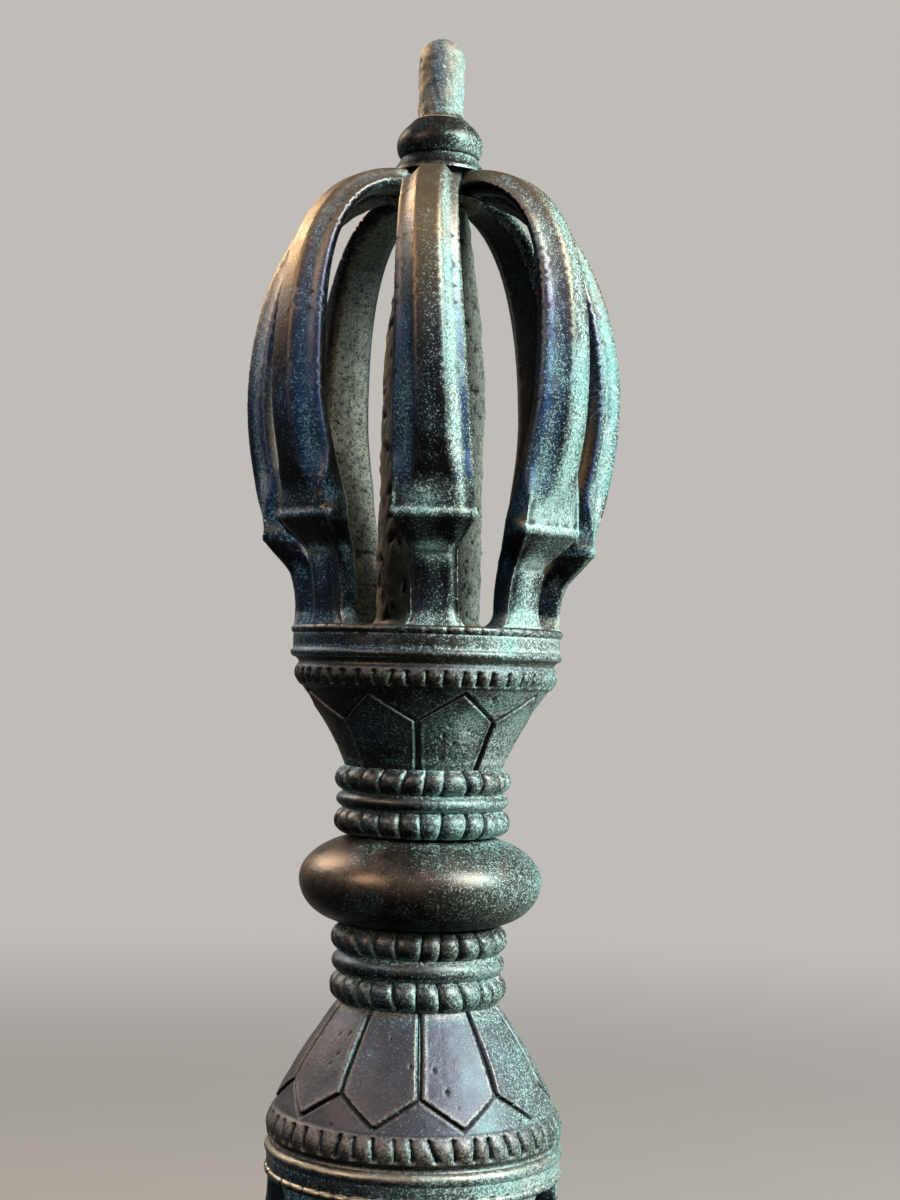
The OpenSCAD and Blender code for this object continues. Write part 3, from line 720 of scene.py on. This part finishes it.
def band_nicks(half, z, angle, seed):
    """Depth of the cuts in the band, between its plain margins: a sharp line in a round dip."""
    line_depth, line_w, dip_w, fade_out, fade_in = 1.2 * BAND_NICK, 0.12, 0.42, 0.15, 0.25
    shift, lean, deep = tool_marks(NICK_COUNT, seed, wander=0.09, lean=0.35, spread=0.5,
                                   shallow=0.6, deep=1.15)
    number = nearest_mark(angle, NICK_COUNT)
    rise = z - half.lotus_h - half.band_h / 2
    away = apart(angle - number * 360.0 / NICK_COUNT - shift[number], lean[number] * rise)
    across = np.radians(away) * half.band_r
    low = half.lotus_h + NICK_MARGIN
    high = half.lotus_h + half.band_h - NICK_MARGIN
    along = ramp(z, low - fade_out, low + fade_in) * fall(z, high - fade_in, high + fade_out)
    return along * deep[number] * (line_depth * hump(across, 0, line_w) + BAND_BEAD * hump(across, 0, dip_w))


def pits(z, angle, radius, low, high, seed):
    """Small round holes in the casting, at seeded places."""
    rng = np.random.default_rng(seed)
    sink = np.zeros(np.broadcast(z, angle).shape)
    for _ in range(PIT_COUNT):
        at, place, size = rng.uniform(0, 360), rng.uniform(low, high), rng.uniform(PIT_LEAST_R, PIT_MOST_R)
        across = np.radians(apart(angle, at)) * radius
        away = (across / size) ** 2 + ((z - place) / size) ** 2
        sink = np.maximum(sink, 0.8 * size * np.exp(-away ** 1.5))
    return sink


def cup_outline(half):
    """The outline of a cup, and how many of its points lie on the cone, the band and the cove."""
    top = half.lotus_h + half.band_h
    cone_z = np.linspace(0, half.lotus_h, 64)
    cone = np.stack([cone_radius(half, cone_z), cone_z], 1)
    t = np.linspace(0, 1, 20)
    band_r = lerp(half.lotus_r + PETAL_RAISE, half.band_r, t) + BAND_SWELL * np.sin(math.pi * t)
    band = np.stack([band_r, lerp(half.lotus_h, top, t)], 1)[1:]
    u = np.linspace(0, 1, 9)
    cove_r = lerp(half.band_r, half.rim_r - half.lip_d / 2, u) - COVE_DEPTH * np.sin(math.pi * u)
    cove = np.stack([cove_r, top + half.cove_h * u], 1)[1:]
    rest = half.rim_z - SPIGOT_L - half.cup_z
    bores = [[SPIGOT_BORE_R, half.cup_h], [SPIGOT_BORE_R, rest], [ROD_BORE_R, rest], [ROD_BORE_R, 0]]
    bottom = spaced([[ROD_BORE_R, 0], [WAIST_R, 0]], 2.0)[1:-1]
    return np.vstack([cone, band, cove, spaced(bores, 2.0), bottom]), (len(cone), len(band), len(cove))


def make_lotus_cup(name, half, seed):
    around = NICK_COUNT * NICK_STEPS
    outline, (cone_count, band_count, cove_count) = cup_outline(half)
    radius, z = np.hsplit(outline, 2)
    angle = angles(around)
    number = np.arange(len(outline))[:, None]
    on_cone = number < cone_count
    on_band = (number >= cone_count) & (number < cone_count + band_count)
    shown = number < cone_count + band_count + cove_count
    holes = pits(z, angle, half.lotus_r * 0.85, 1.0, half.lotus_h, seed + 1)
    lift = np.where(on_cone, petal_relief(half, z, angle) - holes, 0)
    lift = np.where(on_band, -band_nicks(half, z, angle, seed), lift)
    sink = cast_skin(turned(radius, z, around, half.low), LOTUS_SKIN, seed + 2, seed + 3)
    uneven = radius + np.where(shown, lift - sink, 0)
    top = half.lotus_h + half.band_h
    seam = np.maximum(fall(z, 0.1, 1.8), 0.7 * ramp(z, top - 0.1, top + 0.3))
    seam = np.where(on_band, seam - 0.35, seam)
    if not half.low:
        stain = 1.6 * hump(angle, 24, 9) * hump(z, 4.4, 2.0)
        seam = np.maximum(seam, stain)
    casting(name, turned(uneven, half.cup_z + z, around, half.low), "lotus_bronze", crevice=seam)


# The rim disc: rounded lip, upright wall, fine bead row and the rough floor between the prongs.
def rim_outline(half):
    """The side, the bead row, the floor and the bore, and the height of the lip."""
    edge_r = half.rim_r
    lip_r = half.lip_d / 2
    seat_r = edge_r - lip_r
    wall_r = edge_r - WALL_INSET
    ball = ROW_D / 2
    row_r = edge_r - ball
    swing = np.linspace(-math.acos((wall_r - row_r) / ball), math.pi / 2, 13)
    row = np.stack([row_r + ball * np.cos(swing), RIM_H - ball + ball * np.sin(swing)], 1)
    swing = np.linspace(-math.pi / 2, math.acos((wall_r - seat_r) / lip_r), 16)
    lip = np.stack([seat_r + lip_r * np.cos(swing), lip_r + lip_r * np.sin(swing)], 1)
    wall = spaced([lip[-1], row[0]], 0.14)[1:-1]
    side = np.vstack([[[SPIGOT_BORE_R, 0], [seat_r - 1.5, 0]], lip, wall])
    floor = spaced([[row_r, RIM_H], [SPIGOT_BORE_R, RIM_H]], 0.4)[1:]
    bore = spaced([[SPIGOT_BORE_R, RIM_H], [SPIGOT_BORE_R, 0]], 1.5)[1:-1]
    return (side, row, floor, bore), lip[-1, 1]


def row_nicks(angle, radius, seed):
    """Depth of the cuts between the fine beads of the row."""
    line_w, dip_depth, dip_w = 0.2, 0.05, 0.5
    rng = np.random.default_rng(seed)
    shift = rng.normal(0, 0.08, NICK_COUNT) * (360.0 / NICK_COUNT)
    number = nearest_mark(angle, NICK_COUNT)
    across = np.radians(apart(angle - number * 360.0 / NICK_COUNT, shift[number])) * radius
    deep = rng.uniform(0.3, 1.1, NICK_COUNT)[number]
    return deep * (ROW_NICK * hump(across, 0, line_w) + dip_depth * hump(across, 0, dip_w))


def make_rim_disc(name, half, seed):
    around = NICK_COUNT * NICK_STEPS
    (side, row, floor, bore), lip_top = rim_outline(half)
    outline = np.vstack([side, row, floor, bore])
    radius, z = np.hsplit(outline, 2)
    number = np.arange(len(outline))[:, None]
    row_end = len(side) + len(row)
    on_side = (number > 1) & (number < len(side))
    on_row = (number >= len(side)) & (number < row_end)
    on_floor = (number >= row_end) & (number < row_end + len(floor))
    grid = turned(radius, z, around, half.low)
    sink = cast_skin(grid, RIM_SKIN, seed + 2, seed + 3)
    cut = row_nicks(angles(around), half.rim_r, seed)
    uneven = radius - np.where(on_row, cut, 0) - np.where(on_row | on_side, sink, 0)
    height = z - np.where(on_floor, 0.25 * fractal(grid, 1.2, seed + 4), 0)
    foot = 0.8 * fall(z, 0.05 * half.lip_d, 0.25 * half.lip_d)
    over_lip = 0.7 * hump(z, lip_top + 0.1, 0.25)
    under_row = hump(z, row[0, 1], 0.2)
    seam = np.where(on_side, np.maximum(np.maximum(foot, over_lip), under_row), 0.0)
    casting(name, turned(uneven, half.disc_z + height, around, half.low), "lotus_bronze",
            grit=np.where(on_floor, 0.9, 0.0), crevice=seam,
            paint="rim_bronze" if half.low else "neck_bronze")


# The outer prongs: foot, stem, shoulder ledge, and a bowed blade with a rib between two coves.
SECTION_POINTS = 72
FACE_SHARE = 0.6
BACK_SHARE = 0.72
STEM_BACK_SHARE = 0.92
FACE_DROP = 0.25
SIDE_DROP = 0.4
INWARD = np.array([-1.0, 0.0])


def ease(t):
    return float(ramp(t, 0, 1))


def crowd_width(r):
    """The most that a blade can be wide at a radius."""
    return 2 * r * math.tan(math.radians(LEAST_STEP / 2)) - CROWN_LAND


def bezier(p, t):
    s = 1 - t
    return s ** 3 * p[0] + 3 * s * s * t * p[1] + 3 * s * t * t * p[2] + t ** 3 * p[3]


def bezier_direction(p, t):
    s = 1 - t
    d = s * s * (p[1] - p[0]) + 2 * s * t * (p[2] - p[1]) + t * t * (p[3] - p[2])
    return d / np.linalg.norm(d)


def section_line(thick, rib, raise_h, drop, edge, inner, back_round):
    """Half widths and depths round one cross-section, from the middle of the outer face."""
    a, e, b = rib / 2, edge / 2, inner / 2
    step = min(0.5, (e - a) * 0.4)
    foot = a + step
    half_line = [
        [a * 0.5, 0.0], [a * 0.92, 0.03], [a + step * 0.4, raise_h * 0.4], [foot, raise_h * 0.92],
        [lerp(foot, e, 0.4), lerp(raise_h, drop, 0.42) + 0.08],
        [lerp(foot, e, 0.78), lerp(raise_h, drop, 0.72)],
        [e - 0.12, drop - 0.1], [e, drop + 0.22],
        [lerp(e, b, 0.35), lerp(drop, thick, 0.5)],
        [b, thick - back_round], [b - back_round, thick], [b * 0.4, thick],
    ]
    other = [[-x, y] for x, y in reversed(half_line)]
    line = soften(half_line + other, 2, 0.2)
    start = int(np.argmin(np.abs(line[:, 0]) + 10 * (line[:, 1] > thick / 2)))
    return evenly(np.roll(line, -start, 0), SECTION_POINTS)


def stem_row(r, z, thick, face, edge, inner, back_round):
    line = section_line(thick, face, FACE_DROP, SIDE_DROP, edge, inner, back_round)
    return np.array([r, z]), INWARD, line


def stem_rows(half, ledge):
    """Cross-sections of the tenon, the foot, the stem and the undercut below the ledge."""
    throat = ledge - UNDERCUT_H
    stem_r = half.rim_r - STEM_INSET
    throat_r = stem_r + LEDGE_OUT * 0.2
    ledge_r = stem_r + LEDGE_OUT
    tenon_r = half.rim_r - ROW_D / 2 - TENON_WALL
    throat_t = lerp(STEM_T, LEDGE_T, 0.2)
    face, back = STEM_W * FACE_SHARE, STEM_W * STEM_BACK_SHARE
    rows = []
    for z in (-TENON_H, -TENON_H / 2, -0.01):
        line = section_line(TENON_T, TENON_W * FACE_SHARE, 0.0, 0.0, TENON_W, TENON_W, 0.1)
        rows.append((np.array([tenon_r, z]), INWARD, line))
    for t in np.linspace(0, 1, 10):
        spread = FOOT_SPREAD * (1 - t) ** 2
        rows.append(stem_row(stem_r, FOOT_H * t, STEM_T + spread, face + spread,
                             STEM_W + 2 * spread, back + 2 * spread, 0.35))
    for t in np.linspace(0, 1, 14)[1:]:
        rows.append(stem_row(lerp(stem_r, throat_r, t * t), lerp(FOOT_H, throat, t),
                             lerp(STEM_T, throat_t, t), face, STEM_W, back, 0.35))
    for t in np.linspace(0, 1, 14)[1:]:
        r = lerp(throat_r, ledge_r, ease(t) * 0.35 + t * 0.65)
        rows.append(stem_row(r, lerp(throat, ledge, t), lerp(throat_t, LEDGE_T, t),
                             lerp(STEM_W, BLADE_W, t) * FACE_SHARE, lerp(STEM_W, BLADE_W * 0.94, ease(t)),
                             lerp(back, BLADE_W * BACK_SHARE, t), 0.4))
    return rows


def blade_row(curve, t, thick, ledge):
    """One cross-section of the blade, square to the curve that it follows."""
    at, d = bezier(curve, t), bezier_direction(curve, t)
    direction = np.array([-d[1], d[0]])
    up = (at[1] - ledge) / (PRONG_H - ledge)
    grown = ease((at[1] - ledge - 1.0) / 6)
    edge = min(lerp(BLADE_W, BLADE_TOP_W, up), crowd_width(at[0]))
    rib = min(lerp(RIB_LOW_W, RIB_W, up), edge * FACE_SHARE)
    inner = min(edge * BACK_SHARE, crowd_width(at[0] + direction[0] * thick))
    line = section_line(thick, lerp(edge * FACE_SHARE, rib, grown), lerp(FACE_DROP, RIB_H, grown),
                        lerp(SIDE_DROP, thick * EDGE_DROP, grown), edge, inner, 0.45)
    return at, direction, line


def blade_rows(half, ledge, bow):
    """Cross-sections from the ledge to the belly, and over to the tongue in the crown."""
    cage_r = half.cage_r
    ledge_r = half.rim_r - STEM_INSET + LEDGE_OUT
    rise = np.array([[ledge_r, ledge + 0.4], [ledge_r + 0.9, ledge + 4], [cage_r, BELLY_H - 5.5],
                     [cage_r, BELLY_H]])
    over = np.array([[cage_r, BELLY_H], [cage_r, lerp(BELLY_H, PRONG_H, bow * 0.75)],
                     [lerp(TONGUE_R, cage_r, bow), PRONG_H - 0.2], [TONGUE_R, PRONG_H]])
    rows = [blade_row(rise, t, lerp(LEDGE_T, BELLY_T, ease(t)), ledge) for t in np.linspace(0, 1, 46)]
    return rows + [blade_row(over, t, lerp(BELLY_T, CROWN_T, ease(t / 0.8)), ledge)
                   for t in np.linspace(0, 1, 84)[1:]]


def prong_sink(flat, ledge, inside, outer, seed):
    """Depth of the cast skin: roughest on the inner face, with a lip and a scoop at the ledge."""
    at, height = flat + seed, flat[..., 2]
    sink = cast_skin(at, PRONG_SKIN, seed, seed + 1, fractal)
    sink = sink + inside * cast_skin(at, PRONG_BACK_SKIN, seed + 2, seed + 3, fractal)
    shoulder = hump(height, ledge + 0.8, 1.6) * (1 - inside)
    lip = 0.3 * hump(height, ledge + 0.3, 0.45)
    scoop = 0.22 * hump(height, ledge + 2.6, 1.5)
    return sink + shoulder * 0.12 * fractal(at, 0.9, seed + 4) - outer * (lip - scoop)


def prong_seam(height, ledge, inside):
    """Where bloom gathers: at the foot and on the ledge, and hardly on the stem."""
    foot = 0.8 * fall(height, 0.2, 2.2)
    on_ledge = 0.9 * hump(height, ledge + 0.5, 0.55) * (1 - inside)
    over_ledge = 0.5 * hump(height, ledge + 2.2, 1.4) * (1 - inside)
    on_stem = ramp(height, 1.0, 2.5) * fall(height, ledge - 0.8, ledge)
    return np.maximum(np.maximum(foot, on_ledge), over_ledge) - 0.9 * on_stem


def make_prong(name, half, number, seed):
    ledge = PRONG_LEDGES[number]
    rows = stem_rows(half, ledge) + blade_rows(half, ledge, PRONG_BOWS[number])
    flat = np.array([[[at[0] + d[0] * y, x, at[1] + d[1] * y] for x, y in line] for at, d, line in rows])
    depth = np.array([line[:, 1] / line[:, 1].max() for at, d, line in rows])
    aside = np.array([np.abs(line[:, 0]) / np.abs(line[:, 0]).max() for at, d, line in rows])
    height = flat[..., 2]
    inside = ramp(depth, 0.8, 0.98)
    cove = ramp(aside, 0.4, 0.55) * fall(depth, 0.5, 0.62) * ramp(height, ledge + 2, ledge + 6)
    normals = grid_normals(flat, False)
    if dot(normals, flat - flat.mean(1, keepdims=True)).mean() < 0:
        normals = -normals
    free = np.where(flat[..., 0] < HUB_R + 0.4, 0.0, ramp(height, 0.0, 0.6))
    sink = prong_sink(flat, ledge, inside, fall(depth, 0.3, 0.6), seed)
    uneven = flat - normals * (sink * free)[..., None]
    lean = PRONG_LEANS[number] * np.clip(uneven[..., 2] / HUB_Z, 0, 1)
    angle = np.radians(PRONG_ANGLES[number] + lean)
    r, side, z = uneven[..., 0], uneven[..., 1], half.rim_z + uneven[..., 2]
    grid = np.stack([r * np.sin(angle) + side * np.cos(angle), -r * np.cos(angle) + side * np.sin(angle),
                     -z if half.low else z], -1)
    # Earth on the inner faces thins towards the top, which darkens them there: partly painted shade.
    earth_and_top_shade = inside * (1 - 0.5 * ramp(height, 20, 42))
    casting(name, grid, "prong_bronze", wrap_rows=False, grit=earth_and_top_shade, cove=cove,
            crevice=prong_seam(height, ledge, inside), relief=0.08)


# The central prong: a rough straight shaft on its spigot, with the round finial at its end.
def shaft_outline(dome_z):
    floor_z = -SPIGOT_L + ROD_GRIP
    spigot = [[0.3, floor_z], [ROD_BORE_R, floor_z], [ROD_BORE_R, -SPIGOT_L], [SPIGOT_R, -SPIGOT_L],
              [SPIGOT_R, -0.02]]
    bend = np.radians(np.linspace(0, 90, 8))
    fillet = np.stack([SHAFT_R + SHAFT_FILLET * (1 - np.sin(bend)), SHAFT_FILLET * (1 - np.cos(bend))], 1)
    t = np.linspace(0, 1, 60)
    taper = np.stack([lerp(SHAFT_TOP_R, SHAFT_R, np.cos(math.pi / 2 * t)), lerp(TAPER_H, HUB_Z, t)], 1)
    shaft = spaced([fillet[-1], taper[0]], 0.42)[1:-1]
    pin = [[CROWN_PIN_R, HUB_Z], [CROWN_PIN_R, CROWN_TOP_Z], [FINIAL_R, CROWN_TOP_Z]]
    bend = np.radians(np.linspace(0, 88, 16))
    dome = np.stack([FINIAL_R * np.cos(bend), dome_z + FINIAL_R * np.sin(bend)], 1)
    finial = spaced([pin[-1], dome[0]], 0.3)[1:-1]
    return np.vstack([spigot, fillet, shaft, taper, pin, finial, dome])


def make_central_prong(name, half, seed):
    around = 200
    shade_angle, shade_w = -8, 24
    dome_z = FINIAL_H - FINIAL_R
    outline = shaft_outline(dome_z)
    radius, z = np.hsplit(outline, 2)
    grid = turned(radius, z, around, half.low)
    on_shaft = ramp(z, 0.2, 1.5) * fall(z, HUB_Z - 1.0, HUB_Z)
    on_finial = ramp(z, CROWN_TOP_Z, CROWN_TOP_Z + 0.5)
    lumps = 0.5 * centred(grid, 1.3, seed, 4) + 0.3 * centred(grid, 5.0, seed + 1)
    holes = 0.5 * ramp(fractal(grid, 0.9, seed + 2, 2), 0.6, 0.78)
    skin = cast_skin(grid, FINIAL_SKIN, seed + 3, seed + 4, fractal)
    uneven = radius - on_shaft * (lumps + holes) - on_finial * skin * fall(z, dome_z, FINIAL_H)
    # Painted shade: a band down the front of the finial, a little to the left, turns navy and holds less
    # bloom.
    cove = 0.9 * on_finial * hump(apart(angles(around), shade_angle), 0, shade_w)
    casting(name, turned(uneven, half.rim_z + z, around, half.low), "shaft_bronze",
            wrap_rows=False, grit=0.85 * on_shaft, cove=cove)


# The crown collar: the hub the prongs run into, its flare and the round ring above.
def crown_outline(bore):
    swing = np.radians(np.linspace(-90, 90, 44))
    t = np.cos(swing)
    widest_z = NECK_Z + CROWN_BELLY_H
    belly_r = np.where(swing < 0, lerp(CROWN_NECK_R, CROWN_R, t ** 0.9), lerp(bore, CROWN_R, t ** 2.2))
    belly_z = np.where(swing < 0, lerp(widest_z, NECK_Z, -np.sin(swing)),
                       lerp(widest_z, CROWN_TOP_Z, np.sin(swing)))
    belly = np.stack([belly_r, belly_z], 1)
    u = np.linspace(0, 1, 12)
    slot_r, slot_z = TONGUE_R - TONGUE_GAP, PRONG_H + TONGUE_GAP
    skirt_z = slot_z + SKIRT_H
    flare = np.stack([lerp(HUB_R, CROWN_NECK_R, u), lerp(skirt_z, NECK_Z, u)], 1)
    hub = [[bore, HUB_Z], [HUB_FLOOR_R, HUB_Z], [HUB_R - 0.1, TONGUE_Z], [slot_r, TONGUE_Z],
           [slot_r, slot_z], [HUB_R, slot_z], [HUB_R, skirt_z]]
    inner = spaced([belly[-1], [bore, HUB_Z]], 1.2)[1:-1]
    return np.vstack([spaced(hub, 0.6)[:-1], flare, belly[1:], inner])


def make_crown_collar(name, half, seed):
    around = 220
    bore = CROWN_PIN_R + FIT_GAP
    outline = crown_outline(bore)
    radius, z = np.hsplit(outline, 2)
    shown = ramp(radius, bore + 0.1, bore + 0.6) * ramp(z, PRONG_H, PRONG_H + 0.3)
    sink = cast_skin(turned(radius, z, around, half.low), CROWN_SKIN, seed, seed + 1, fractal)
    seam = np.maximum(hump(z, NECK_Z, 0.35), fall(z, PRONG_H - 0.4, PRONG_H))
    casting(name, turned(radius - shown * sink, half.rim_z + z, around, half.low), "crown_bronze",
            crevice=seam, grit=fall(z, TONGUE_Z, TONGUE_Z + 0.1))


def make_half(label, half, seed):
    low = half.low
    make_bead_ring(label + "_inner_bead_ring", BULB_H / 2, half.inner_bead_h, low, seed + 1)
    make_plain_ring(label + "_plain_ring", half.plain_z, half.plain_h, low, seed + 2)
    make_bead_ring(label + "_outer_bead_ring", half.outer_bead_z, half.outer_bead_h, low, seed + 3)
    make_lotus_cup(label + "_lotus_cup", half, seed + 10)
    make_rim_disc(label + "_rim_disc", half, seed + 20)
    make_central_prong(label + "_central_prong", half, seed + 30)
    make_crown_collar(label + "_crown_collar", half, seed + 40)
    for number in range(len(PRONG_ANGLES)):
        make_prong(label + "_prong_%d" % (number + 1), half, number, seed + 50 + 5 * number)


make_bulb()
make_half("upper", HALVES["upper"], 100)
make_half("lower", HALVES["lower"], 200)

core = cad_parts["core_rod"]
core.data.materials.clear()
core.data.materials.append(MATERIALS["core_bronze"])


# The studio, in metres: a pale floor that fades into the background, and three soft lamps.
BACKGROUND = colour(192, 188, 183)
FLOOR_NEAR = colour(116, 114, 111)
FLOOR_FAR = colour(164, 161, 157)
FLOOR_GRAIN = colour(112, 110, 107)
FLOOR_UNSEEN = colour(80, 78, 76)
FLOOR_HALF_W = 4.0
SKY_TINT = (0.9, 0.95, 1.0, 1.0)
SKY_STRENGTH = 0.11
LAMP_TARGET = np.array([0.0, 0.0, 0.02])
LAMPS = {
    "right_lamp": dict(
        towards=(0.8, -0.45, 0.65), width=0.24, height=0.32, power=10.0,
        tint=(0.96, 1.0, 1.0)),
    "left_lamp": dict(
        towards=(-0.75, -0.5, 0.45), width=0.14, height=0.14, power=2.4,
        tint=(1.0, 0.7, 0.46)),
    "back_lamp": dict(
        towards=(-0.75, 0.6, 0.6), distance=0.7, width=0.3, height=0.3, power=0.5,
        tint=(1.0, 0.8, 0.6), spread=40.0),
}


def seen_rays(tree):
    """1 for rays that show the background: straight, mirrored or let through."""
    path = tree.add("LightPath").outputs
    seen = tree.plus(path["Is Camera Ray"], path["Is Glossy Ray"])
    return tree.plus(seen, path["Is Transmission Ray"], clamp=True)


def make_floor():
    mesh = bpy.data.meshes.new("floor")
    w, z = FLOOR_HALF_W, -MM * (HALVES["lower"].rim_z + FINIAL_H)
    mesh.from_pydata([(-w, -w, z), (w, -w, z), (w, w, z), (-w, w, z)], [], [(0, 1, 2, 3)])
    floor = placed("floor", mesh)
    material = bpy.data.materials.new("floor_paint")
    tree = Tree(material)
    where = tree.add("TexCoord").outputs["Object"]
    reach = tree.add("VectorMath", {0: where}, operation="LENGTH").outputs["Value"]
    paint = tree.mix(tree.span(reach, 0.0, 0.35), FLOOR_NEAR, FLOOR_FAR)
    paint = tree.mix(tree.times(tree.noise(where, 60.0, 4.0), 0.1), paint, FLOOR_GRAIN)
    near = tree.add("BsdfDiffuse", {"Color": paint}).outputs[0]
    plain = tree.add("Emission", {"Color": BACKGROUND, "Strength": 1.0}).outputs[0]
    unseen = tree.add("BsdfDiffuse", {"Color": FLOOR_UNSEEN}).outputs[0]
    shown = tree.add("MixShader", {0: tree.span(reach, 0.18, 0.7), 1: near, 2: plain}).outputs[0]
    both = tree.add("MixShader", {0: seen_rays(tree), 1: unseen, 2: shown}).outputs[0]
    tree.add("OutputMaterial", {0: both})
    mesh.materials.append(material)


def make_world():
    world = bpy.data.worlds.new("studio")
    bpy.context.scene.world = world
    tree = Tree(world)
    shown = tree.add("Background", {"Color": BACKGROUND, "Strength": 1.0}).outputs[0]
    light = tree.add("Background", {"Color": SKY_TINT, "Strength": SKY_STRENGTH}).outputs[0]
    both = tree.add("MixShader", {0: seen_rays(tree), 1: light, 2: shown}).outputs[0]
    tree.add("OutputWorld", {0: both})


def make_lamp(name, towards, width, height, power, tint, distance=0.6, spread=180.0):
    lamp = bpy.data.lights.new(name, "AREA")
    lamp.shape = "RECTANGLE"
    lamp.size = width
    lamp.size_y = height
    lamp.energy = power
    lamp.spread = math.radians(spread)
    lamp.color = tint
    holder = placed(name, lamp)
    z_axis = np.array(towards) / np.linalg.norm(towards)
    x_axis = np.cross([0.0, 0.0, 1.0], z_axis)
    x_axis /= np.linalg.norm(x_axis)
    y_axis = np.cross(z_axis, x_axis)
    place = LAMP_TARGET + z_axis * distance
    rows = [[x_axis[i], y_axis[i], z_axis[i], place[i]] for i in range(3)]
    holder.matrix_world = Matrix(rows + [[0, 0, 0, 1]])


# The camera, fitted to the photograph; these are its pixels, counted from the upper left corner.
PHOTO_W_PX = 900.0
PHOTO_H_PX = 1200.0
FOCUS_PX = 1950.0
PX_PER_MM = 9.333
AXIS_X_PX = 427.8
BULB_Y_PX = 878.0
EYE_Y_PX = 675.0
AXIS_SLOPE = 0.0263
SENSOR_MM = 36.0


def make_camera():
    camera = bpy.data.cameras.new("camera")
    camera.sensor_fit = "VERTICAL"
    camera.sensor_height = SENSOR_MM
    camera.lens = SENSOR_MM * FOCUS_PX / PHOTO_H_PX
    camera.clip_start = 0.01
    camera.clip_end = 20.0
    holder = placed("camera", camera)
    distance = FOCUS_PX / PX_PER_MM
    eye = (BULB_Y_PX - EYE_Y_PX) / PX_PER_MM
    pitch = math.atan((EYE_Y_PX - PHOTO_H_PX / 2) / FOCUS_PX)
    yaw = math.atan((PHOTO_W_PX / 2 - AXIS_X_PX) / FOCUS_PX)
    holder.matrix_world = (Matrix.Translation((0.0, -distance * MM, eye * MM))
                           @ Matrix.Rotation(-yaw, 4, "Z")
                           @ Matrix.Rotation(math.pi / 2 + pitch, 4, "X")
                           @ Matrix.Rotation(math.atan(AXIS_SLOPE), 4, "Z"))
    bpy.context.scene.camera = holder


make_floor()
make_world()
for name, lamp in LAMPS.items():
    make_lamp(name, **lamp)
make_camera()
bpy.context.scene.view_settings.view_transform = "Standard"
